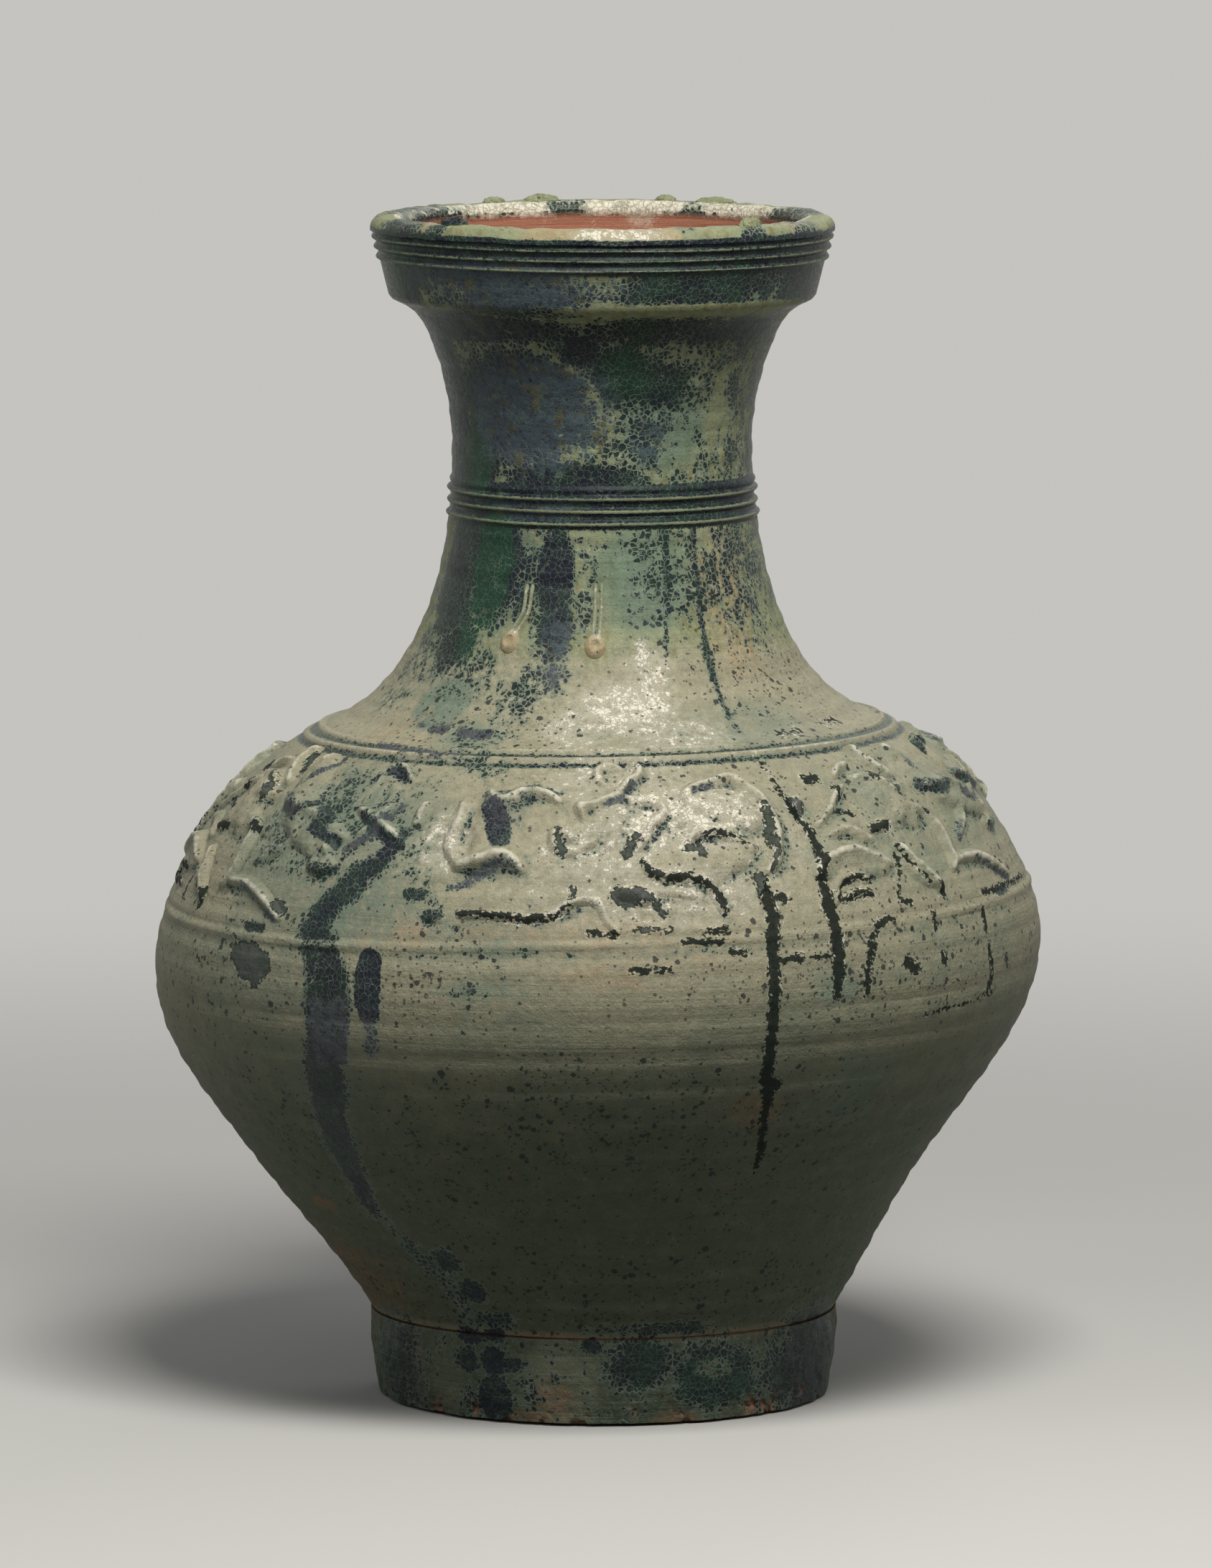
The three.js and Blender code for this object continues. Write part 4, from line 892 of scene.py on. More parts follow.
class Shell:
    """A spun section of the vase with its outer wall known, so marks and lifts can be laid on it."""

    def __init__(self, name, profile, wall, steps, on_axis=False, reach=0.6):
        self.obj = spin_profile(name, profile, steps, on_axis)
        self.wall = wall
        self.points = read_points(self.obj)
        x, y, z = self.points.T
        self.radius = np.hypot(x, y)
        self.azimuth = np.degrees(np.arctan2(x, -y))
        self.level = z
        # each point of the profile is outside where it lies on the wall's own line
        rounded = np.round(np.stack([self.radius, z], axis=1), 2)
        pairs, index = np.unique(rounded, axis=0, return_inverse=True)
        line = np.linspace(0, wall.length, 1600)
        gaps = np.hypot(*(pairs[:, None, k] - wall.at(line)[k][None, :] for k in (0, 1)))
        self.outer = (gaps.min(axis=1) < reach)[index.ravel()]
        self.run = line[gaps.argmin(axis=1)][index.ravel()]

    def lift(self, amounts):
        """Moves the outer points off the wall by an amount each, in millimetres."""
        moved = points_at(self.azimuth, *self.wall.at(self.run, amounts))
        self.points = np.where(self.outer[:, None], moved, self.points)

    def finish(self, form, **marks):
        """Writes the points and the marks, those given over the glaze's own, and finishes the piece."""
        write_points(self.obj, self.points)
        nothing = np.zeros_like(self.run)
        values = {"pool": nothing, "crest": nothing, "glazed": np.where(self.outer, 1.0, 0.0)}
        write_marks(self.obj, {**values, **glaze_marks(self.azimuth, self.level, self.radius), **marks})
        finish_piece(self.obj, form)


def ridge(run, centre, half_width):
    """A rounded turned ridge of height 1."""
    u = np.clip(np.abs(run - centre) / half_width, 0, 1)
    return (1 - u * u) ** 1.5


def around(azimuth, counts, seed):
    """A slow wobble round the vase from -1 to 1, made of a few waves."""
    a = np.radians(azimuth)
    return sum(math.cos(seed * k) * np.sin(k * a + seed * 1.7 * k) / len(counts) * 1.6 for k in counts)


def rilling(run, azimuth, seed):
    """Faint throwing rings, a fraction of a millimetre high."""
    return (0.16 * np.sin(run * math.tau / 11.3 + seed + 0.5 * np.sin(np.radians(azimuth) + seed))
            + 0.10 * np.sin(run * math.tau / 6.1 + 2 * seed)
            + 0.05 * np.sin(run * math.tau / 3.4 + 3 * seed))


def material(slot):
    """The new glaze for a slot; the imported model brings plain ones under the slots' own names."""
    found = bpy.data.materials.get("aged_" + slot)
    if found is None:
        raise RuntimeError("the glazes come first: the one for " + slot + " is missing")
    return found


def dress(obj, slot):
    obj.data.materials.clear()
    obj.data.materials.append(material(slot))
    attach(obj, "root")


# ---- glazes ----

class Graph:
    """Adds nodes to a tree and wires them. Each call gives back an output socket."""

    def __init__(self, tree):
        self.tree = tree

    def node(self, kind, inputs=(), **settings):
        made = self.tree.nodes.new(kind)
        for key, value in settings.items():
            setattr(made, key, value)
        for key, value in dict(inputs).items():
            self.set(made.inputs[key], value)
        return made

    def set(self, socket, value):
        if isinstance(value, bpy.types.NodeSocket):
            self.tree.links.new(value, socket)
        else:
            socket.default_value = value

    def math(self, operation, *values, clamp=False):
        made = self.node("ShaderNodeMath", operation=operation, use_clamp=clamp)
        for i, value in enumerate(values):
            self.set(made.inputs[i], value)
        return made.outputs[0]

    def scale(self, vector, x, y=None, z=None):
        made = self.node("ShaderNodeVectorMath", operation="MULTIPLY")
        self.set(made.inputs[0], vector)
        made.inputs[1].default_value = (x, x if y is None else y, x if z is None else z)
        return made.outputs[0]

    def noise(self, vector, scale, detail=3.0, rough=0.55, lacunarity=2.0):
        return self.node("ShaderNodeTexNoise", {
            "Vector": vector, "Scale": scale, "Detail": detail, "Roughness": rough,
            "Lacunarity": lacunarity}).outputs

    def cells(self, vector, scale, feature="F1", randomness=1.0):
        return self.node("ShaderNodeTexVoronoi", {
            "Vector": vector, "Scale": scale, "Randomness": randomness}, feature=feature).outputs

    def step(self, value, low, high, to_low=0.0, to_high=1.0):
        made = self.node("ShaderNodeMapRange", interpolation_type="SMOOTHSTEP")
        for i, v in enumerate((value, low, high, to_low, to_high)):
            self.set(made.inputs[i], v)
        return made.outputs[0]

    def mix(self, share, a, b, blend="MIX"):
        made = self.node("ShaderNodeMix", data_type="RGBA", blend_type=blend)
        self.set(made.inputs[0], share)
        self.set(made.inputs[6], a)
        self.set(made.inputs[7], b)
        return made.outputs[2]

    def mark(self, name):
        return self.node("ShaderNodeAttribute", attribute_name=name).outputs["Fac"]

    def group(self, name, inputs):
        return self.node("ShaderNodeGroup", inputs, node_tree=bpy.data.node_groups[name]).outputs

    def grey(self, tone):
        return self.node("ShaderNodeCombineColor", {"Red": tone, "Green": tone, "Blue": tone}).outputs[0]


def new_group(name, inputs, outputs):
    tree = bpy.data.node_groups.new(name, "ShaderNodeTree")
    for label, kind, default in inputs:
        socket = tree.interface.new_socket(label, in_out="INPUT", socket_type="NodeSocket" + kind)
        if default is not None:
            socket.default_value = default
    for label, kind in outputs:
        tree.interface.new_socket(label, in_out="OUTPUT", socket_type="NodeSocket" + kind)
    graph = Graph(tree)
    source = tree.nodes.new("NodeGroupInput").outputs
    target = tree.nodes.new("NodeGroupOutput").inputs
    return graph, source, target


def crackle_group():
    """Crazing: how far each point is from its net of fine lines, and a random value for each cell."""
    graph, source, target = new_group(
        "Crackle", [("Vector", "Vector", None), ("Cell Size", "Float", 2.2), ("Warp", "Float", 0.6)],
        [("Edge", "Float"), ("Cell", "Float")])
    warp = graph.node("ShaderNodeVectorMath", operation="MULTIPLY_ADD")
    drift = graph.node("ShaderNodeVectorMath", operation="SUBTRACT")
    graph.set(drift.inputs[0], graph.noise(source["Vector"], 0.55, 2.0)["Color"])
    drift.inputs[1].default_value = (0.5, 0.5, 0.5)
    stretch = graph.node("ShaderNodeVectorMath", operation="SCALE")
    graph.set(stretch.inputs[0], drift.outputs[0])
    graph.set(stretch.inputs["Scale"], source["Warp"])
    graph.set(warp.inputs[0], stretch.outputs[0])
    warp.inputs[1].default_value = (2, 2, 2)
    graph.set(warp.inputs[2], source["Vector"])
    scale = graph.math("DIVIDE", 1.0, source["Cell Size"])
    graph.set(target["Edge"], graph.cells(warp.outputs[0], scale, "DISTANCE_TO_EDGE")["Distance"])
    separate = graph.node("ShaderNodeSeparateColor", {"Color": graph.cells(warp.outputs[0], scale)["Color"]})
    graph.set(target["Cell"], separate.outputs[0])
    return graph.tree


def speckle_group():
    """Small irregular dots, denser where Density is higher."""
    graph, source, target = new_group(
        "Speckle",
        [("Vector", "Vector", None), ("Spacing", "Float", 2.0), ("Density", "Float", 0.5),
         ("Size", "Float", 0.5)],
        [("Dots", "Float")])
    ragged = graph.noise(source["Vector"], 1.5, 4.0, 0.65)["Fac"]
    found = graph.cells(source["Vector"], graph.math("DIVIDE", 1.0, source["Spacing"]))
    separate = graph.node("ShaderNodeSeparateColor", {"Color": found["Color"]})
    size = graph.math("MULTIPLY", graph.math("POWER", separate.outputs[0], 2.5), source["Size"])
    edge = graph.math("ADD", found["Distance"], graph.math("MULTIPLY_ADD", ragged, 0.9, -0.45))
    dot = graph.step(graph.math("SUBTRACT", size, edge), -0.03, 0.04)
    keep = graph.math("LESS_THAN", separate.outputs[1], source["Density"])
    graph.set(target["Dots"], graph.math("MULTIPLY", dot, keep))
    return graph.tree


GLAZE_MARKS = ("dark", "ink", "grey", "slate", "silver", "teal", "emerald", "speckle", "green", "olive",
               "lime", "rust", "pool", "crest")
GLAZE_COLOURS = ("Buff", "Sage", "Olive", "Lime", "Teal", "Navy", "Emerald", "Slate", "Silver")

# Tones between the settings' colours
OCHRE = (0.19, 0.165, 0.065, 1)
BLUSH = (0.42, 0.28, 0.16, 1)
DEEP_BLUSH = (0.22, 0.12, 0.06, 1)
TAN_CRAZING = (0.27, 0.21, 0.12, 1)
PALE_CRAZING = (0.13, 0.20, 0.17, 1)
DARK_NET = (0.022, 0.036, 0.042, 1)
PALE_NET = (0.075, 0.115, 0.10, 1)
BLACK_GREEN = (0.008, 0.020, 0.016, 1)
BRONZE_FILM = (0.115, 0.105, 0.060, 1)
MAUVE_FILM = (0.095, 0.085, 0.105, 1)
DEEP_FILM = (0.024, 0.026, 0.038, 1)
PIT = (0.010, 0.016, 0.018, 1)
SKIN_GREEN = (0.058, 0.070, 0.058, 1)
SKIN_GREY = (0.088, 0.090, 0.088, 1)
SKIN_LOW = (0.07, 0.078, 0.07, 1)
SKIN_RIM = (0.020, 0.034, 0.024, 1)
INK = (0.004, 0.008, 0.006, 1)
INK_RIM = (0.006, 0.014, 0.009, 1)
CLAY_STAIN = (0.62, 0.52, 0.40, 1)
CLAY_SOOT = (0.10, 0.06, 0.045, 1)
PAPER_BOUNCE = (0.20, 0.20, 0.195, 1)


def glaze_group():
    """The weathered lead glaze: everything that its marks say, as a colour, a roughness and a height."""
    graph, source, target = new_group(
        "Weathered Glaze",
        [("Vector", "Vector", None)]
        + [(name.title() + " Mark", "Float", 0.0) for name in GLAZE_MARKS]
        + [(name, "Color", (0.5, 0.5, 0.5, 1)) for name in GLAZE_COLOURS]
        + [("Grain", "Float", 1.0)],
        [("Color", "Color"), ("Roughness", "Float"), ("Height", "Float")])
    s = source
    p = s["Vector"]
    g = graph

    def swing(value, reach):
        """A noise's sway either side of nothing, up to about half of `reach`."""
        return g.math("MULTIPLY_ADD", value, reach, -reach / 2)

    def total(*values):
        out = values[0]
        for value in values[1:]:
            out = g.math("ADD", out, value)
        return out

    def share(value, amount):
        return g.math("MULTIPLY", value, amount)

    # slow and quick mottling; the glaze ran down the wall, so some of it is drawn out upright
    slow = g.noise(g.scale(p, 1, 1, 0.35), 0.030, 4.0, 0.6)["Fac"]
    cloud = g.noise(p, 0.11, 5.0, 0.62)["Fac"]
    mid = g.noise(p, 0.42, 5.0, 0.65)["Fac"]
    fine = g.noise(p, 2.2, 4.0, 0.7)["Fac"]
    rings = g.noise(g.scale(p, 0.02, 0.02, 1.0), 0.33, 3.0, 0.6)["Fac"]
    streaks = g.noise(g.scale(p, 1, 1, 0.12), 0.35, 4.0, 0.6)["Fac"]
    crust = g.noise(p, 0.30, 8.0, 0.74)["Fac"]

    green = g.step(total(s["Green Mark"], swing(slow, 1.4), swing(cloud, 1.6), swing(mid, 0.8)), 0.12, 0.88)
    base = g.mix(green, s["Buff"], s["Sage"])
    lime = g.step(total(s["Lime Mark"], swing(cloud, 0.9), swing(streaks, 0.6)), 0.3, 0.75)
    base = g.mix(lime, base, s["Lime"])
    ochre = share(g.step(total(streaks, swing(cloud, 0.5)), 0.50, 0.64), s["Lime Mark"])
    base = g.mix(share(ochre, 0.75), base, OCHRE)
    drift = total(swing(cloud, 0.5), swing(mid, 0.35), swing(rings, 0.4))
    olive = g.math("ADD", s["Olive Mark"], share(drift, s["Olive Mark"]), clamp=True)
    base = g.mix(share(olive, 0.9), base, s["Olive"])
    cast = g.step(total(s["Teal Mark"], -0.25, swing(mid, 1.2), swing(streaks, 0.8)), 0.05, 0.75)
    base = g.mix(share(cast, 0.6), base, s["Teal"])
    blush = g.step(total(s["Rust Mark"], swing(cloud, 1.4), swing(crust, 1.4), 0.12), 0.24, 0.9)
    base = g.mix(share(blush, 0.5), base, g.mix(olive, BLUSH, DEEP_BLUSH))
    shade = share(g.math("MULTIPLY_ADD", rings, 0.40, 0.80), g.math("MULTIPLY_ADD", fine, 1.1, 0.45))
    shade = share(shade, total(share(mid, 0.8), share(crust, 0.5), 0.35))
    base = g.mix(1.0, base, g.grey(shade), "MULTIPLY")
    # pooled glaze and painted shade: the pool mark darkens the colour towards olive
    base = g.mix(share(g.step(total(s["Pool Mark"], swing(mid, 0.5)), 0.15, 0.9), 0.6), base, s["Olive"])

    # silvery crust and painted highlights: a haze of it where the silver mark lays crust and glare,
    # crisp-edged grains that are crust and painted glints, and pale crests, worn and on the frieze a painted
    # highlight
    silver = total(crust, share(s["Silver Mark"], 0.23), share(s["Crest Mark"], 0.05), swing(fine, 0.22))
    silver_haze_and_glare = g.math("MULTIPLY", g.step(silver, 0.50, 0.86), s["Silver Mark"], clamp=True)
    base = g.mix(share(silver_haze_and_glare, 0.55), base, s["Silver"])
    crust_and_glints = g.step(silver, 0.70, 0.74)
    base = g.mix(share(crust_and_glints, 0.8), base, s["Silver"])
    # pale crests: worn glaze on the ridges, and a painted highlight on the frieze's crests
    worn = g.step(total(s["Crest Mark"], swing(mid, 0.8)), 0.35, 0.8)
    base = g.mix(share(worn, 0.55), base, g.mix(s["Lime Mark"], s["Silver"], s["Lime"]))

    # thick dark glaze: the marks say how much of the wall it covers; cell by cell it is there or not
    crackle = g.group("Crackle", {"Vector": p, "Cell Size": 1.9, "Warp": 0.7})
    small = g.group("Crackle", {"Vector": p, "Cell Size": 1.1, "Warp": 0.4})
    crazing = share(g.step(crackle["Edge"], 0.10, 0.03), share(crust_and_glints, 0.65))
    base = g.mix(crazing, base, TAN_CRAZING)
    # the pool mark, painted shade with it, also counts as thick dark glaze
    depth = g.math("MAXIMUM", s["Dark Mark"], share(s["Pool Mark"], 0.95))
    patchy = share(swing(cloud, 1.5), g.step(s["Dark Mark"], 0.05, 0.35))
    depth = total(depth, patchy, share(s["Crest Mark"], -0.8))
    chance = total(share(g.step(mid, 0.34, 0.66), 0.42), share(crackle["Cell"], 0.30),
                   share(g.step(streaks, 0.34, 0.66), 0.28))
    over = g.math("SUBTRACT", g.math("MULTIPLY_ADD", depth, 1.15, -0.08), chance)
    thick = g.step(over, -0.05, 0.04)
    rim = share(g.step(over, -0.32, -0.04), g.math("SUBTRACT", 1.0, thick))
    base = g.mix(share(rim, 0.5), base, g.mix(0.5, s["Teal"], s["Sage"]))
    full = g.step(depth, 0.5, 1.0)
    open_net = g.step(depth, 0.45, 1.0, 0.12, 0.045)
    cell = g.step(crackle["Edge"], g.math("MULTIPLY", open_net, 0.45), g.math("MULTIPLY", open_net, 1.25))
    full_net = g.mix(g.step(cloud, 0.4, 0.6), DARK_NET, PALE_NET)
    net = g.mix(full, g.mix(0.6, s["Teal"], s["Sage"]), full_net)
    base = g.mix(share(thick, 0.8), base, net)
    deep = g.mix(g.step(total(cloud, swing(slow, 0.6)), 0.42, 0.58), s["Navy"], BLACK_GREEN)
    jewel = g.step(total(s["Emerald Mark"], -0.1, swing(cloud, 0.9)), 0.1, 0.7)
    deep = g.mix(jewel, deep, s["Emerald"])
    film = g.step(total(s["Slate Mark"], -0.28, swing(mid, 1.0), swing(cloud, 1.1)), 0.02, 0.6)
    tarnish = g.mix(g.step(g.noise(p, 0.17, 3.0, 0.6)["Fac"], 0.52, 0.64), s["Slate"], BRONZE_FILM)
    tarnish = g.mix(share(g.step(s["Lime Mark"], 0.6, 0.1), 0.8), tarnish, MAUVE_FILM)
    tarnish = g.mix(g.step(total(mid, swing(fine, 0.7)), 0.55, 0.30), tarnish, DEEP_FILM)
    deep = g.mix(share(film, 0.85), deep, tarnish)
    crazed = share(g.step(small["Edge"], 0.07, 0.02), share(g.step(cloud, 0.45, 0.6), 0.22))
    deep = g.mix(crazed, deep, PALE_CRAZING)
    cover = share(thick, cell)
    base = g.mix(share(cover, 0.96), base, deep)

    # dark specks and dust
    specks = g.group("Speckle", {
        "Vector": p, "Spacing": 1.8, "Size": 0.75,
        "Density": share(s["Speckle Mark"], g.step(cloud, 0.40, 0.62, 0.03, 0.8))})["Dots"]
    dust = g.group("Speckle", {
        "Vector": p, "Spacing": 0.95, "Size": 0.8,
        "Density": g.math("MULTIPLY_ADD", s["Speckle Mark"], 0.30, 0.05)})["Dots"]
    pits = g.math("MAXIMUM", specks, share(dust, 0.8))
    base = g.mix(share(pits, 0.85), base, PIT)

    # pools down to a dull skin, and crisp green-black lines, with a thin pale edge where the glaze broke,
    # which is also a painted highlight along the broken edge
    ragged = total(swing(g.noise(p, 0.7, 4.0, 0.6)["Fac"], 2.4), swing(small["Cell"], 1.5), swing(fine, 0.8))
    skin = g.mix(g.step(total(mid, swing(cloud, 0.6)), 0.46, 0.62), SKIN_GREEN, SKIN_GREY)
    skin = g.mix(share(olive, 0.5), skin, SKIN_LOW)
    inside = {}
    for mark, colour, rim_colour in (("Grey Mark", skin, SKIN_RIM), ("Ink Mark", INK, INK_RIM)):
        gap = total(s[mark], ragged)
        inside[mark] = g.step(gap, 0.14, -0.04)
        flaked = share(g.step(crust, 0.48, 0.66), g.math("SUBTRACT", 1.0, olive))
        broken_edge_and_glint = share(g.step(gap, 0.70, 0.45), flaked)
        base = g.mix(share(broken_edge_and_glint, 0.7), base, s["Silver"])
        body = g.mix(g.step(total(gap, swing(fine, 0.8)), -0.45, -0.9), rim_colour, colour)
        base = g.mix(share(inside[mark], 0.96), base, body)
    bare, inked = inside["Grey Mark"], inside["Ink Mark"]
    graph.set(target["Color"], base)

    rough = g.math("MULTIPLY_ADD", mid, 0.3, 0.40)
    rough = g.math("SUBTRACT", rough, share(crust_and_glints, 0.10))
    rough = g.math("SUBTRACT", rough, share(cover, 0.26))
    dull = share(olive, g.math("SUBTRACT", 1.0, cover))
    rough = total(rough, share(share(film, cover), 0.12), share(bare, 0.3), share(inked, 0.22),
                  share(dull, 0.12))
    graph.set(target["Roughness"], g.math("MINIMUM", g.math("MAXIMUM", rough, 0.17), 0.95))

    height = share(fine, 0.12)
    height = g.math("MULTIPLY_ADD", mid, 0.45, height)
    height = g.math("MULTIPLY_ADD", cloud, 0.7, height)
    height = g.math("MULTIPLY_ADD", rings, 0.45, height)
    height = share(height, s["Grain"])
    height = total(height, share(crust_and_glints, 0.06), share(cell, 0.03), share(cover, 0.04), share(pits, -0.10))
    height = total(height, share(inked, 0.10), share(bare, -0.20))
    graph.set(target["Height"], share(height, MM))
    return graph.tree


def clay_group():
    """Bare red earthenware with throwing lines and pale stains."""
    graph, source, target = new_group(
        "Bare Clay",
        [("Vector", "Vector", None), ("Clay", "Color", (0.5, 0.2, 0.1, 1)), ("Stain", "Float", 0.4)],
        [("Color", "Color"), ("Roughness", "Float"), ("Height", "Float")])
    p = source["Vector"]
    rings = graph.noise(graph.scale(p, 0.03, 0.03, 1), 0.8, 4.0, 0.7)["Fac"]
    cloud = graph.noise(p, 0.09, 5.0, 0.6)["Fac"]
    grit = graph.noise(p, 1.6, 5.0, 0.7)["Fac"]
    tone = graph.math("MULTIPLY", graph.math("MULTIPLY_ADD", rings, 0.8, 0.6),
                      graph.math("MULTIPLY_ADD", grit, 0.6, 0.7))
    base = graph.mix(1.0, source["Clay"], graph.grey(tone), "MULTIPLY")
    stain = graph.step(graph.math("ADD", cloud, graph.math("MULTIPLY_ADD", grit, 0.4, -0.2)), 0.52, 0.66)
    base = graph.mix(graph.math("MULTIPLY", stain, source["Stain"]), base, CLAY_STAIN)
    soot = graph.math("MULTIPLY", graph.step(graph.noise(p, 0.2, 4.0, 0.7)["Fac"], 0.6, 0.75), 0.5)
    base = graph.mix(soot, base, CLAY_SOOT)
    graph.set(target["Color"], base)
    graph.set(target["Roughness"], graph.math("MULTIPLY_ADD", grit, 0.2, 0.72))
    height = graph.math("ADD", graph.math("MULTIPLY", rings, 0.5), graph.math("MULTIPLY", grit, 0.2))
    graph.set(target["Height"], graph.math("MULTIPLY", height, MM))
    return graph.tree


def glaze_material(slot, glaze, grain, clay_inside=True):
    """One of the vase's glazes: the shared glaze outside, bare clay where it was never glazed."""
    made = bpy.data.materials.new("aged_" + slot)
    made.use_nodes = True
    tree = made.node_tree
    tree.nodes.clear()
    graph = Graph(tree)
    place = graph.node("ShaderNodeTexCoord").outputs["Object"]
    p = graph.scale(place, 1 / MM)
    marks = {mark.title() + " Mark": graph.mark(mark) for mark in GLAZE_MARKS}
    colours = {name: getattr(glaze, name.lower()) for name in GLAZE_COLOURS}
    coat = graph.group("Weathered Glaze", {"Vector": p, "Grain": grain, **colours, **marks})
    clay = graph.group("Bare Clay", {"Vector": p, "Clay": glaze.clay, "Stain": 0.5})
    glazed = graph.mark("glazed") if clay_inside else 1.0
    colour = graph.mix(glazed, clay["Color"], coat["Color"])
    rough = graph.node("ShaderNodeMix", {0: glazed, 2: clay["Roughness"], 3: coat["Roughness"]}).outputs[0]
    height = graph.node("ShaderNodeMix", {0: glazed, 2: clay["Height"], 3: coat["Height"]}).outputs[0]
    bump = graph.node("ShaderNodeBump", {"Height": height, "Strength": 1.0, "Distance": 1.0}).outputs[0]
    shader = graph.node("ShaderNodeBsdfPrincipled", {
        "Base Color": colour, "Roughness": rough, "Normal": bump, "IOR": 1.5, "Specular IOR Level": 0.18})
    output = graph.node("ShaderNodeOutputMaterial", {"Surface": shader.outputs[0]})
    output.is_active_output = True
    return made


def seen_directly(graph):
    """1 for what the camera sees, straight or in a gloss; 0 for light on its way to a surface."""
    path = graph.node("ShaderNodeLightPath").outputs
    gloss = graph.math("MAXIMUM", path["Is Glossy Ray"], path["Is Transmission Ray"])
    return graph.math("MAXIMUM", path["Is Camera Ray"], gloss)


def paper_material(tone):
    """Pale studio paper: it takes the vase's shadow, evens out with distance and throws little light back."""
    made = bpy.data.materials.new("studio_paper")
    made.use_nodes = True
    made.node_tree.nodes.clear()
    graph = Graph(made.node_tree)
    place = graph.node("ShaderNodeTexCoord").outputs["Object"]
    away = graph.node("ShaderNodeVectorMath", operation="LENGTH")
    graph.set(away.inputs[0], place)
    far = graph.step(away.outputs["Value"], 0.3, 1.3)
    near = graph.node("ShaderNodeBsdfDiffuse", {"Color": tone}).outputs[0]
    glow = graph.node("ShaderNodeEmission", {"Color": tone, "Strength": 0.9}).outputs[0]
    seen = graph.node("ShaderNodeMixShader", {0: far, 1: near, 2: glow}).outputs[0]
    bounce = graph.node("ShaderNodeBsdfDiffuse", {"Color": PAPER_BOUNCE}).outputs[0]
    both = graph.node("ShaderNodeMixShader", {0: seen_directly(graph), 1: bounce, 2: seen}).outputs[0]
    graph.node("ShaderNodeOutputMaterial", {"Surface": both})
    return made


# ---- operators ----

class HUVASE_OT_glazes(bpy.types.Operator):
    """Mixes the glazes and the clay"""

    bl_idname = "huvase.glazes"
    bl_label = "Mix Glazes"

    def execute(self, context):
        glaze = context.scene.hu_vase_glaze
        crackle_group()
        speckle_group()
        glaze_group()
        clay_group()
        glaze_material("body_glaze", glaze, 1.0)
        glaze_material("relief_glaze", glaze, 0.9, clay_inside=False)
        glaze_material("dark_glaze", glaze, 0.8)
        glaze_material("foot_glaze", glaze, 2.2)
        glaze_material("bead_glaze", glaze, 0.6, clay_inside=False)
        return {"FINISHED"}


class HUVASE_OT_foot_ring(bpy.types.Operator):
    """Turns the tall foot, rough and chipped at its sole"""

    bl_idname = "huvase.foot_ring"
    bl_label = "Foot Ring"

    def execute(self, context):
        form = context.scene.hu_vase_form
        wall = make_walls(form.belly_radius / MM)["foot_ring"]
        outside = [wall.at(run) for run in stations(wall, 0.9, start=1.6, stop=wall.length - 0.6)]
        recess = SOLE_RADIUS - FOOT_WALL
        sole = [(r, 0.0) for r in np.linspace(recess + 2.6, SOLE_RADIUS - 1.4, 12)]
        inside = [(recess + 2 * (1 - t) ** 2, FOOT_TOP * t) for t in np.linspace(1, 0.04, 14)]
        top = [(r, FOOT_TOP) for r in np.linspace(FOOT_RADIUS - 0.8, recess + 1.5, 10)]
        profile = sole + [(SOLE_RADIUS - 0.5, 0.5)] + outside + top + inside
        shell = Shell("foot_ring_shell", profile, wall, form.round_steps)
        rough = ripples(shell.points, 9.0) * 0.7 + ripples(shell.points, 3.2, 5.0) * 0.45
        shell.lift(rough * 0.8 * smoothstep(shell.run, wall.length + 1, wall.length - 5))
        # the sole is uneven: bites of clay are missing, and grains of sand stuck to it
        low = smoothstep(shell.level, 9.0, 0.0)
        bites = ripples(shell.points * (1, 1, 0.6), 5.5, 9.0) * 1.5 + ripples(shell.points, 1.9, 4.0) * 1.1
        bites = np.clip(bites - 0.45, 0, 1)
        x, y, z = shell.points.T
        inward = 1 - low * bites * 0.02 * shell.outer
        z = z + low * bites * 1.6 * (shell.level < 9)
        shell.points = np.stack([x * inward, y * inward, z], axis=1)
        chip = low * np.clip(bites * 1.4, 0, 1)
        shell.finish(
            form, pool=0.5 * np.clip(rough, 0, 1) + 0.25, glazed=np.where(shell.outer, 1 - chip * 0.9, 0.0))
        dress(shell.obj, "foot_glaze")
        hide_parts("foot_ring")
        return {"FINISHED"}


class HUVASE_OT_lower_bowl(bpy.types.Operator):
    """Throws the lower belly with its faint rings"""

    bl_idname = "huvase.lower_bowl"
    bl_label = "Lower Bowl"

    def execute(self, context):
        form = context.scene.hu_vase_form
        wall = make_walls(form.belly_radius / MM)["lower_bowl"]
        floor = FOOT_TOP + FLOOR_THICKNESS
        outside = [wall.at(run) for run in stations(wall, 1.5)]
        inside = [p for p in inner_points(wall, BELLY_WALL, BELLY_WALL, 6.0) if p[1] > floor + 5]
        profile = ([(r, FOOT_TOP) for r in (0, 20, 40, 60, 70)] + outside + inside
                   + [(BELLY_BASE_RADIUS - 4, floor + 1.5)] + [(r, floor) for r in (60, 40, 20, 0)])
        shell = Shell("lower_bowl_shell", profile, wall, form.round_steps, on_axis=True)
        ease = smoothstep(shell.run, 0, 6) * smoothstep(shell.run, wall.length, wall.length - 8)
        shell.lift(rilling(shell.run, shell.azimuth, 1.0) * ease)
        shell.finish(form)
        dress(shell.obj, "body_glaze")
        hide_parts("lower_bowl")
        return {"FINISHED"}


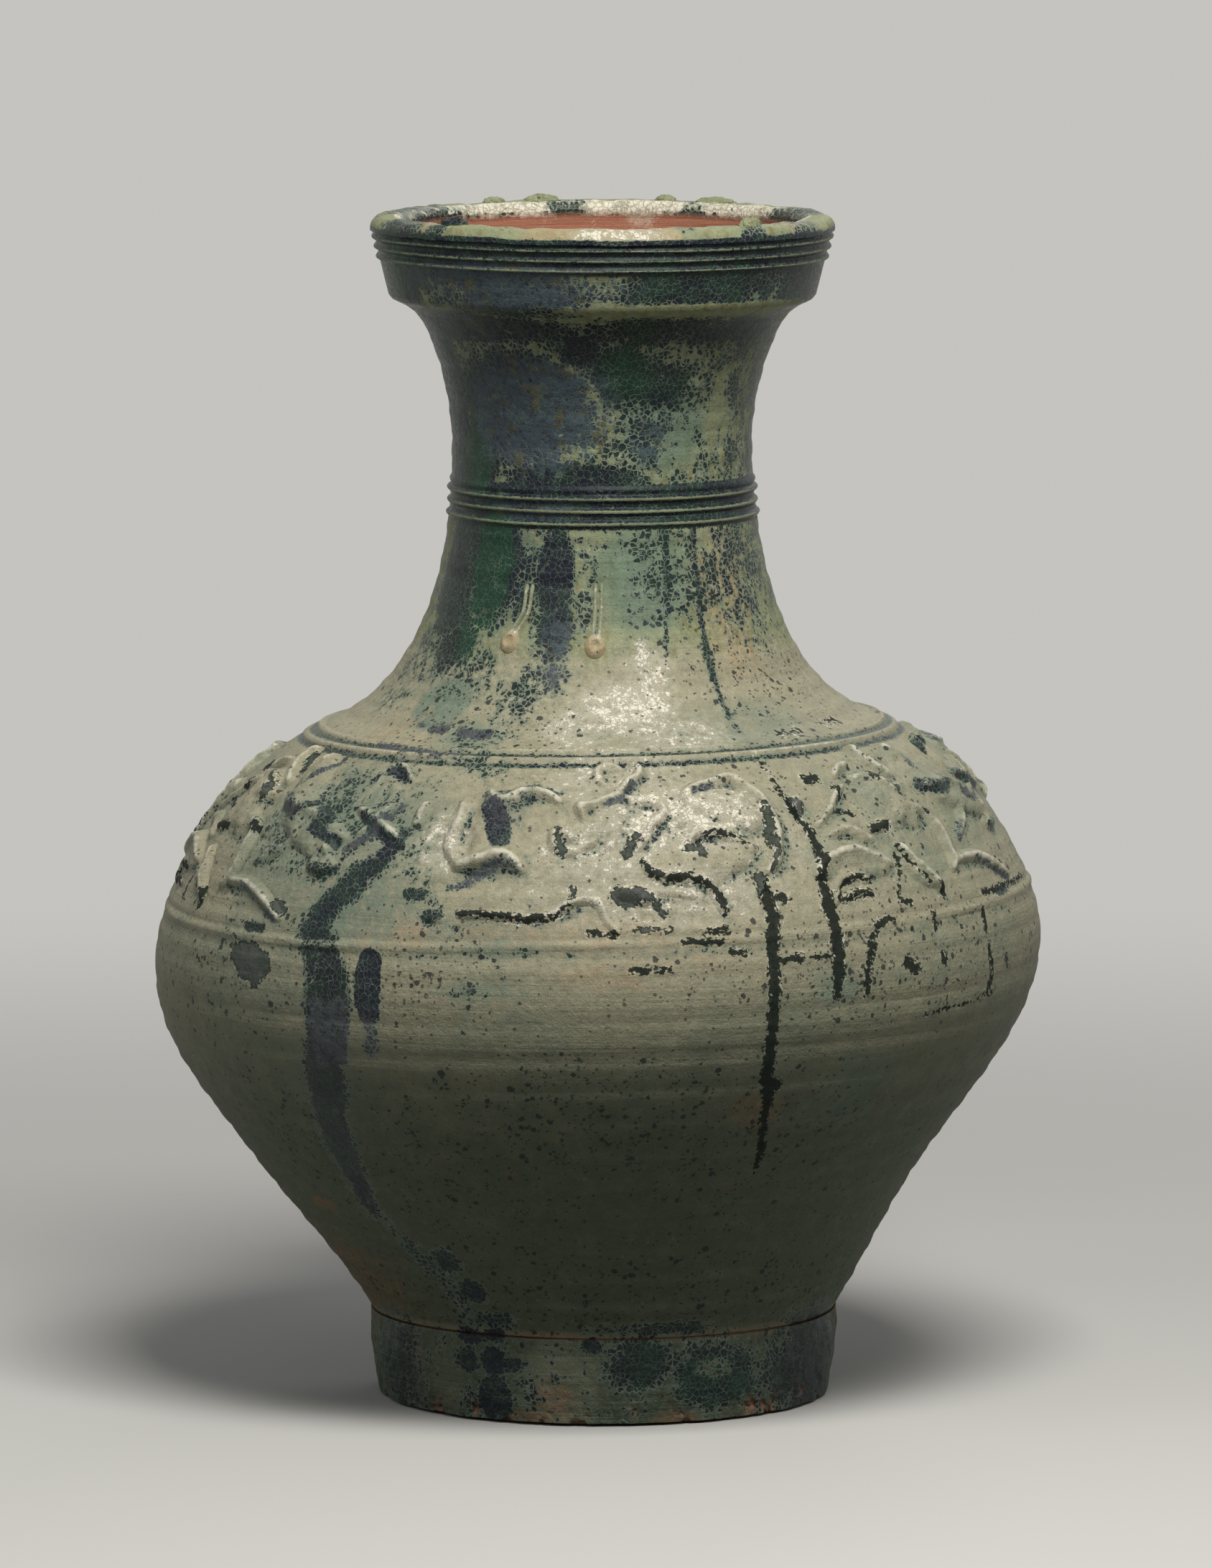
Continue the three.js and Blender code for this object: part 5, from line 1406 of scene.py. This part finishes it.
class HUVASE_OT_shoulder_dome(bpy.types.Operator):
    """Throws the shoulder and turns the ridges that border the frieze"""

    bl_idname = "huvase.shoulder_dome"
    bl_label = "Shoulder Dome"

    def execute(self, context):
        form = context.scene.hu_vase_form
        wall = make_walls(form.belly_radius / MM)["shoulder_dome"]
        frieze = Frieze(wall)
        borders = [LOWER_BORDER] + [wall.length - down for down in UPPER_BORDERS]
        outside = [wall.at(run) for run in stations(wall, 1.25, fine=borders)]
        profile = outside + inner_points(wall, BELLY_WALL, BELLY_WALL, 6.0)
        shell = Shell("shoulder_dome_shell", profile, wall, form.round_steps)
        run, azimuth = shell.run, shell.azimuth
        height = form.ridge_height / MM
        worn = 0.62 + 0.38 * around(azimuth, (3, 7, 11, 19), 2.0)
        lift = height * 0.85 * worn * ridge(run, borders[0] + 0.8 * around(azimuth, (2, 5), 1.0), 2.2)
        for i, centre in enumerate(borders[1:]):
            worn = 0.72 + 0.28 * around(azimuth, (4, 9, 13), 3.0 + i)
            lift = lift + height * worn * ridge(run, centre + 0.5 * around(azimuth, (2, 3), 4.0 + i), 1.7)
        ease = smoothstep(run, 0, 8) * smoothstep(run, wall.length, wall.length - 4)
        shell.lift(lift + rilling(run, azimuth, 2.0) * ease * 0.8)
        # dark bands under the border ridges: glaze pooled in their grooves and painted shadow under the
        # ridges, with the frieze's pooled glaze and painted shade
        grooves = sum(ridge(run, c - 2.6, 2.2) for c in borders[1:]) * 0.8
        grooves = grooves + ridge(run, borders[0] - 2.5, 2.0) * 0.35
        shell.finish(
            form, pool=np.clip(frieze.sample(frieze.pool, azimuth, run) + grooves, 0, 1),
            crest=0.7 * np.clip(lift / height * 1.6 - 0.6, 0, 1))
        dress(shell.obj, "body_glaze")
        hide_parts("shoulder_dome")
        return {"FINISHED"}


class HUVASE_OT_neck(bpy.types.Operator):
    """Throws the waisted neck with its band of turned ridges"""

    bl_idname = "huvase.neck"
    bl_label = "Neck"

    def execute(self, context):
        form = context.scene.hu_vase_form
        wall = make_walls(form.belly_radius / MM)["neck"]
        band = [float(wall.run_at(level)) for level in NECK_BAND]
        outside = [wall.at(run) for run in stations(wall, 1.15, fine=band, fine_pitch=0.4, reach=2.6)]
        profile = outside + inner_points(wall, BELLY_WALL, NECK_WALL, 6.0)
        shell = Shell("neck_shell", profile, wall, min(form.round_steps, NECK_STEPS))
        run, azimuth = shell.run, shell.azimuth
        height = form.ridge_height / MM
        lift = np.zeros_like(run)
        for centre, share in zip(band, (1.0, 1.0, 0.95, 0.6)):
            waved = centre + 0.15 * around(azimuth, (2, 3, 5), centre)
            lift = np.maximum(lift, height * share * ridge(run, waved, 1.35))
        ease = smoothstep(run, 0, 5) * smoothstep(run, wall.length, wall.length - 5)
        shell.lift(lift + rilling(run, azimuth, 3.0) * ease * 0.8)
        inside_band = smoothstep(run, band[0] - 2.5, band[0] - 1.2)
        inside_band = inside_band * smoothstep(run, band[3] + 2.4, band[3] + 1.2)
        shell.finish(form, pool=1.1 * inside_band, crest=np.clip(lift / height * 4.5 - 3.4, 0, 1) * 1.3)
        dress(shell.obj, "dark_glaze")
        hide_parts("neck")
        return {"FINISHED"}


class HUVASE_OT_mouth_dish(bpy.types.Operator):
    """Throws the dish mouth with its ridges and rolled lip"""

    bl_idname = "huvase.mouth_dish"
    bl_label = "Mouth Dish"

    def execute(self, context):
        form = context.scene.hu_vase_form
        wall = make_walls(form.belly_radius / MM)["mouth_dish"]
        band = [float(wall.run_at(level)) for level in DISH_BAND]
        outside = [wall.at(run) for run in stations(wall, 0.8, fine=band, fine_pitch=0.4, reach=1.9)]
        roll = [(LIP_RADIUS - 4 + 4 * math.cos(a), LIP_TOP - 4 + 4 * math.sin(a))
                for a in np.radians(np.linspace(-8, 90, 12))]
        flat = [(r, LIP_TOP) for r in np.linspace(LIP_RADIUS - 5, LIP_RADIUS - 8.2, 4)]
        inner = [(LIP_RADIUS - LIP_WIDTH + 3 - 3 * math.sin(a), LIP_TOP - 3 + 3 * math.cos(a))
                 for a in np.radians(np.linspace(0, 90, 9))]
        throat = wall.at(0.0)
        profile = outside + roll + flat + inner + list(DISH_BOWL) + [(throat[0] - NECK_WALL, throat[1] + 0.4)]
        shell = Shell("mouth_dish_shell", profile, wall, form.round_steps)
        run, azimuth, level = shell.run, shell.azimuth, shell.level
        height = form.ridge_height / MM
        lift = np.zeros_like(run)
        for centre in band:
            waved = centre + 0.12 * around(azimuth, (2, 3, 7), centre)
            lift = np.maximum(lift, height * 0.95 * ridge(run, waved, 1.2))
        shell.lift(lift)
        # the lip is worn and waved, and glaze stands on it in an uneven crust
        crest = smoothstep(level, LIP_TOP - 7, LIP_TOP - 1.5)
        wave = ripples(shell.points, 11.0) * 0.55 + ripples(shell.points, 4.5, 3.0) * 0.5
        wave = wave + 0.25 * around(azimuth, (2, 5, 9), 1.3)
        x, y, z = shell.points.T
        shell.points = np.stack([x, y, z + crest * wave * 0.8], axis=1)
        grooves = smoothstep(run, band[0] - 2.6, band[0] - 1.0)
        crust = 0.5 * smoothstep(level, LIP_TOP - 3.4, LIP_TOP - 2.2)
        # the glaze ends in a silvery roll a few millimetres inside the lip, and the rest is bare
        rolled = ~shell.outer & (shell.radius < LIP_RADIUS - 7.2)
        inside = ~shell.outer & (shell.radius < LIP_RADIUS - 8.6 - wave * 1.6)
        bare = inside & (level < LIP_TOP - 3.0 - np.clip(wave, 0, 1) * 3)
        shell.finish(
            form, pool=1.1 * grooves * (level < LIP_TOP - 3.2),
            crest=np.clip(lift / height * 4.5 - 3.4, 0, 1) * 1.3 + crust,
            silver=np.where(rolled, 1.15, wash(SILVER_AND_HIGHLIGHT_WASH, azimuth, level)), glazed=np.where(bare, 0.0, 1.0))
        dress(shell.obj, "dark_glaze")
        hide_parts("mouth_dish")
        return {"FINISHED"}


class HUVASE_OT_frieze(bpy.types.Operator):
    """Presses the animals and hills of the frieze onto the shoulder"""

    bl_idname = "huvase.frieze"
    bl_label = "Moulded Frieze"

    def execute(self, context):
        form = context.scene.hu_vase_form
        wall = make_walls(form.belly_radius / MM)["shoulder_dome"]
        frieze = Frieze(wall)
        for repeat in range(FRIEZE_REPEATS):
            for name, strokes in FIGURES.items():
                sprig = "%s_%d" % (name, repeat + 1)
                relief = frieze.figures[name]
                obj = press_sprig(sprig + "_relief", strokes, relief, frieze, repeat * STRIP, form)
                dress(obj, "relief_glaze")
                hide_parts(sprig)
        return {"FINISHED"}


def press_sprig(name, strokes, relief, frieze, turn, form):
    """One figure: a grid laid on the wall, raised by its relief and sunk where it has none."""
    wall = frieze.wall
    reach = np.array([
        [a, frieze.run_of(s), w * frieze.SPREAD / 2 + 3] for _, w, _, path in strokes for a, s in path])
    mm = math.radians(1) * SPRIG_RADIUS
    left, right = (reach[:, 0] - reach[:, 2] / mm).min(), (reach[:, 0] + reach[:, 2] / mm).max()
    low, high = (reach[:, 1] - reach[:, 2]).min(), (reach[:, 1] + reach[:, 2]).max()
    columns, rows = int((right - left) * mm / SPRIG_PITCH), int((high - low) / SPRIG_PITCH)
    deselect_all()
    bpy.ops.mesh.primitive_grid_add(x_subdivisions=columns, y_subdivisions=rows, size=1.0)
    obj = bpy.context.active_object
    obj.name = obj.data.name = name
    flat = read_points(obj) * MM
    azimuth = left + (right - left) * (flat[:, 0] + 0.5)
    run = low + (high - low) * (flat[:, 1] + 0.5)
    raised = frieze.sample(relief, azimuth, run) * form.relief_height
    azimuth = azimuth + turn
    radius, level = wall.at(run)
    base = points_at(azimuth, radius, level)
    # the mould was worn and the glaze lies thick, so the relief is soft and a little lumpy
    lumps = 1 + 0.22 * ripples(base, 6.0, 2.0) + 0.12 * ripples(base, 2.4, 7.0)
    lift = raised * lumps * smoothstep(raised, 0.0, 0.5) - SUNK
    lift = lift + rilling(run, azimuth, 2.0) * 0.8
    write_points(obj, points_at(azimuth, *wall.at(run, lift)))
    values = glaze_marks(azimuth, level, radius)
    # pooled glaze and painted shade under and right of the figure, and a painted highlight on its crests
    values["pool"] = np.clip(frieze.sample(frieze.pool, azimuth, run), 0, 1)
    values["crest"] = np.clip(frieze.sample(frieze.crest, azimuth, run), 0, 1)
    write_marks(obj, values)
    thicken(obj, SPRIG_THICKNESS)
    finish_piece(obj, form)
    return obj


# Beads of glaze on the lip: CAD name, azimuth, length, height
LIP_BEADS = [
    ("lip_bead_1", -43, 11, 2.8), ("lip_bead_2", 42, 9, 3.3), ("lip_bead_3", 148, 15, 1.9),
    ("lip_bead_4", 163, 7, 2.2), ("lip_bead_5", -163, 12, 2.4), ("lip_bead_6", -149, 8, 2.0),
]


class HUVASE_OT_lip_beads(bpy.types.Operator):
    """Sets the beads of glaze that gathered on the lip"""

    bl_idname = "huvase.lip_beads"
    bl_label = "Lip Beads"

    def execute(self, context):
        form = context.scene.hu_vase_form
        for name, azimuth, length, height in LIP_BEADS:
            deselect_all()
            bpy.ops.mesh.primitive_uv_sphere_add(segments=48, ring_count=24, radius=0.5)
            obj = bpy.context.active_object
            obj.name = obj.data.name = name + "_drop"
            unit = read_points(obj) * MM * 2
            lumpy = 1 + 0.16 * ripples(unit * 3.0 + azimuth, 1.0) + 0.10 * ripples(unit * 7.0 + azimuth, 1.0)
            shape = unit * lumpy[:, None] * (length / 2, 2.5, height)
            shape[:, 2] = np.maximum(shape[:, 2], -1.6)
            a = math.radians(azimuth)
            seat = LIP_RADIUS - LIP_WIDTH / 2
            x = seat * math.sin(a) + shape[:, 0] * math.cos(a) + shape[:, 1] * -math.sin(a)
            y = -seat * math.cos(a) + shape[:, 0] * math.sin(a) + shape[:, 1] * math.cos(a)
            points = np.stack([x, y, shape[:, 2] + LIP_TOP - 0.2], axis=1)
            write_points(obj, points)
            values = glaze_marks(*(np.full(len(x), float(value)) for value in (azimuth, LIP_TOP, seat)))
            # only those of the front's left side are dark
            values["dark"] = np.full(len(x), 1.3 if -90 < azimuth < 0 else 0.25)
            values.update(pool=np.zeros(len(x)), crest=0.25 * np.clip(unit[:, 2], 0, 1))
            write_marks(obj, values)
            finish_piece(obj, form)
            dress(obj, "bead_glaze")
            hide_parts(name)
        return {"FINISHED"}


# Tears of glaze on the neck: CAD name, azimuth of the drop, drift of the tail, level of the drop, length
NECK_TEARS = [("neck_tear_1", -30, 4, 257, 19), ("neck_tear_2", -2, 0.5, 257, 21)]


class HUVASE_OT_neck_tears(bpy.types.Operator):
    """Runs the two tears of glaze down the neck"""

    bl_idname = "huvase.neck_tears"
    bl_label = "Neck Tears"

    def execute(self, context):
        form = context.scene.hu_vase_form
        wall = make_walls(form.belly_radius / MM)["neck"]
        for name, azimuth, drift, level, length in NECK_TEARS:
            deselect_all()
            bpy.ops.mesh.primitive_grid_add(x_subdivisions=44, y_subdivisions=96, size=1.0)
            obj = bpy.context.active_object
            obj.name = obj.data.name = name + "_run"
            flat = read_points(obj) * MM
            radius = float(np.interp(level, wall.points[:, 1], wall.points[:, 0]))
            foot = wall.run_at(level) - length / 2
            run = foot - 4 + (length + 8) * (flat[:, 1] + 0.5)
            across = flat[:, 0] * 14.0
            share = np.clip((run - foot) / length, 0, 1)
            middle = drift * smoothstep(share, 0.0, 0.6) * math.radians(1) * radius
            # a double-edged thread above, and a fat round drop below with a dimple in it
            thread = np.clip(1 - ((np.abs(across - middle) - 1.0) / 0.9) ** 2, 0, 1)
            thread = thread * smoothstep(run, foot + 1, foot + 5)
            thread = thread * smoothstep(run, foot + length + 1, foot + length - 3)
            distance = np.hypot(across - middle * 0.3, (run - foot) * 0.8)
            dimple = 0.55 * np.clip(1 - (distance / 1.7) ** 2, 0, 1)
            drop = np.clip(1 - (distance / 3.4) ** 2, 0, 1) ** 0.7 - dimple
            lift = np.maximum(thread * 1.0, drop * 2.0) - SUNK
            turn = azimuth + np.degrees(across / radius)
            r, z = wall.at(run, lift)
            write_points(obj, points_at(turn, r, z))
            values = glaze_marks(turn, z, r)
            values["dark"] = np.maximum(values["dark"] * (1 - np.clip(thread + drop, 0, 1)), 0)
            values["silver"] = np.maximum(values["silver"], 0.6 * np.clip(thread + drop, 0, 1))
            values["rust"] = np.maximum(values["rust"], 1.3 * np.clip(drop * 1.6, 0, 1))
            values.update(pool=np.zeros(len(run)), crest=1.4 * np.clip(thread, 0, 1))
            write_marks(obj, values)
            thicken(obj, TEAR_THICKNESS)
            finish_piece(obj, form)
            dress(obj, "bead_glaze")
            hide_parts(name)
        return {"FINISHED"}


# The camera, fitted to the photo's outline
CAMERA_PLACE = (0.0009, -3.7, 0.6296)
CAMERA_PITCH = 6.675
CAMERA_LENS = 265.8
SENSOR_WIDTH = 36

# The studio: reach of the floor, how far it lies below the sole, strength of the fill and of the pale ground
FLOOR_REACH = 14.0
FLOOR_DROP = 0.0005
FILL_TINT = (0.95, 0.97, 1.0, 1)
FILL_STRENGTH = 0.135
GROUND_STRENGTH = 0.9

# Softboxes: name, place, size, power and tint. The overhead one takes its power from the settings.
LAMP_AIM = (0, 0, 0.2)
SOFTBOXES = (
    ("overhead_softbox", (0.22, -0.86, 1.45), (0.62, 0.5), None, (1, 0.985, 0.95)),
    ("left_softbox", (-1.5, -0.9, 1.1), (0.5, 0.9), 3.8, (0.95, 0.98, 1)),
    ("rear_softbox", (0.5, 1.7, 1.3), (0.6, 0.6), 4.0, (1, 1, 1)),
    ("right_softbox", (1.6, -0.6, 1.0), (0.5, 0.9), 1.8, (1, 1, 1)),
)


class HUVASE_OT_stage(bpy.types.Operator):
    """Sets the pale floor, the soft lamps and the camera"""

    bl_idname = "huvase.stage"
    bl_label = "Studio"

    def execute(self, context):
        scene = context.scene
        studio = scene.hu_vase_studio
        deselect_all()
        bpy.ops.mesh.primitive_circle_add(
            vertices=96, radius=FLOOR_REACH, fill_type="NGON", location=(0, 0, -FLOOR_DROP))
        floor = bpy.context.active_object
        floor.name = "studio_floor"
        floor.data.materials.append(paper_material(studio.floor))

        world = scene.world or bpy.data.worlds.new("studio")
        scene.world = world
        world.use_nodes = True
        world.node_tree.nodes.clear()
        graph = Graph(world.node_tree)
        fill = graph.node("ShaderNodeBackground", {"Color": FILL_TINT, "Strength": FILL_STRENGTH}).outputs[0]
        pale = graph.node("ShaderNodeBackground", {
            "Color": studio.floor, "Strength": GROUND_STRENGTH}).outputs[0]
        seen = graph.node("ShaderNodeMixShader", {0: seen_directly(graph), 1: fill, 2: pale}).outputs[0]
        graph.node("ShaderNodeOutputWorld", {"Surface": seen})

        for name, place, size, power, tint in SOFTBOXES:
            bpy.ops.object.light_add(type="AREA", location=place)
            lamp = bpy.context.active_object
            lamp.name = name
            lamp.rotation_euler = (Vector(LAMP_AIM) - Vector(place)).to_track_quat("-Z", "Y").to_euler()
            lamp.data.shape = "RECTANGLE"
            lamp.data.size, lamp.data.size_y = size
            lamp.data.energy = studio.key_power if power is None else power
            lamp.data.color = tint

        bpy.ops.object.camera_add(
            location=CAMERA_PLACE, rotation=(math.radians(90 - CAMERA_PITCH), 0, 0))
        camera = bpy.context.active_object
        camera.name = "photo_camera"
        camera.data.lens = CAMERA_LENS
        camera.data.sensor_width = SENSOR_WIDTH
        camera.data.clip_end = 100
        scene.camera = camera
        scene.view_settings.view_transform = "Standard"
        return {"FINISHED"}


class HUVASE_PT_panel(bpy.types.Panel):
    """Lists the settings and the steps in making order"""

    bl_idname = "HUVASE_PT_panel"
    bl_label = "Hu Vase"
    bl_space_type = "VIEW_3D"
    bl_region_type = "UI"
    bl_category = "Hu Vase"

    def draw(self, context):
        layout = self.layout
        scene = context.scene
        for settings in (scene.hu_vase_form, scene.hu_vase_glaze, scene.hu_vase_studio):
            box = layout.box()
            for name in settings.__annotations__:
                box.prop(settings, name)
        for step in STEPS:
            layout.operator(step.bl_idname)


STEPS = (
    HUVASE_OT_glazes,
    HUVASE_OT_foot_ring,
    HUVASE_OT_lower_bowl,
    HUVASE_OT_shoulder_dome,
    HUVASE_OT_neck,
    HUVASE_OT_mouth_dish,
    HUVASE_OT_frieze,
    HUVASE_OT_lip_beads,
    HUVASE_OT_neck_tears,
    HUVASE_OT_stage,
)
CLASSES = (HuVaseForm, HuVaseGlaze, HuVaseStudio) + STEPS + (HUVASE_PT_panel,)


def register():
    for made in CLASSES:
        bpy.utils.register_class(made)
    bpy.types.Scene.hu_vase_form = bpy.props.PointerProperty(type=HuVaseForm)
    bpy.types.Scene.hu_vase_glaze = bpy.props.PointerProperty(type=HuVaseGlaze)
    bpy.types.Scene.hu_vase_studio = bpy.props.PointerProperty(type=HuVaseStudio)


def unregister():
    del bpy.types.Scene.hu_vase_studio
    del bpy.types.Scene.hu_vase_glaze
    del bpy.types.Scene.hu_vase_form
    for made in reversed(CLASSES):
        bpy.utils.unregister_class(made)


def main():
    register()
    bpy.ops.huvase.glazes()
    bpy.ops.huvase.foot_ring()
    bpy.ops.huvase.lower_bowl()
    bpy.ops.huvase.shoulder_dome()
    bpy.ops.huvase.neck()
    bpy.ops.huvase.mouth_dish()
    bpy.ops.huvase.frieze()
    bpy.ops.huvase.lip_beads()
    bpy.ops.huvase.neck_tears()
    bpy.ops.huvase.stage()


if __name__ == "__main__":
    main()
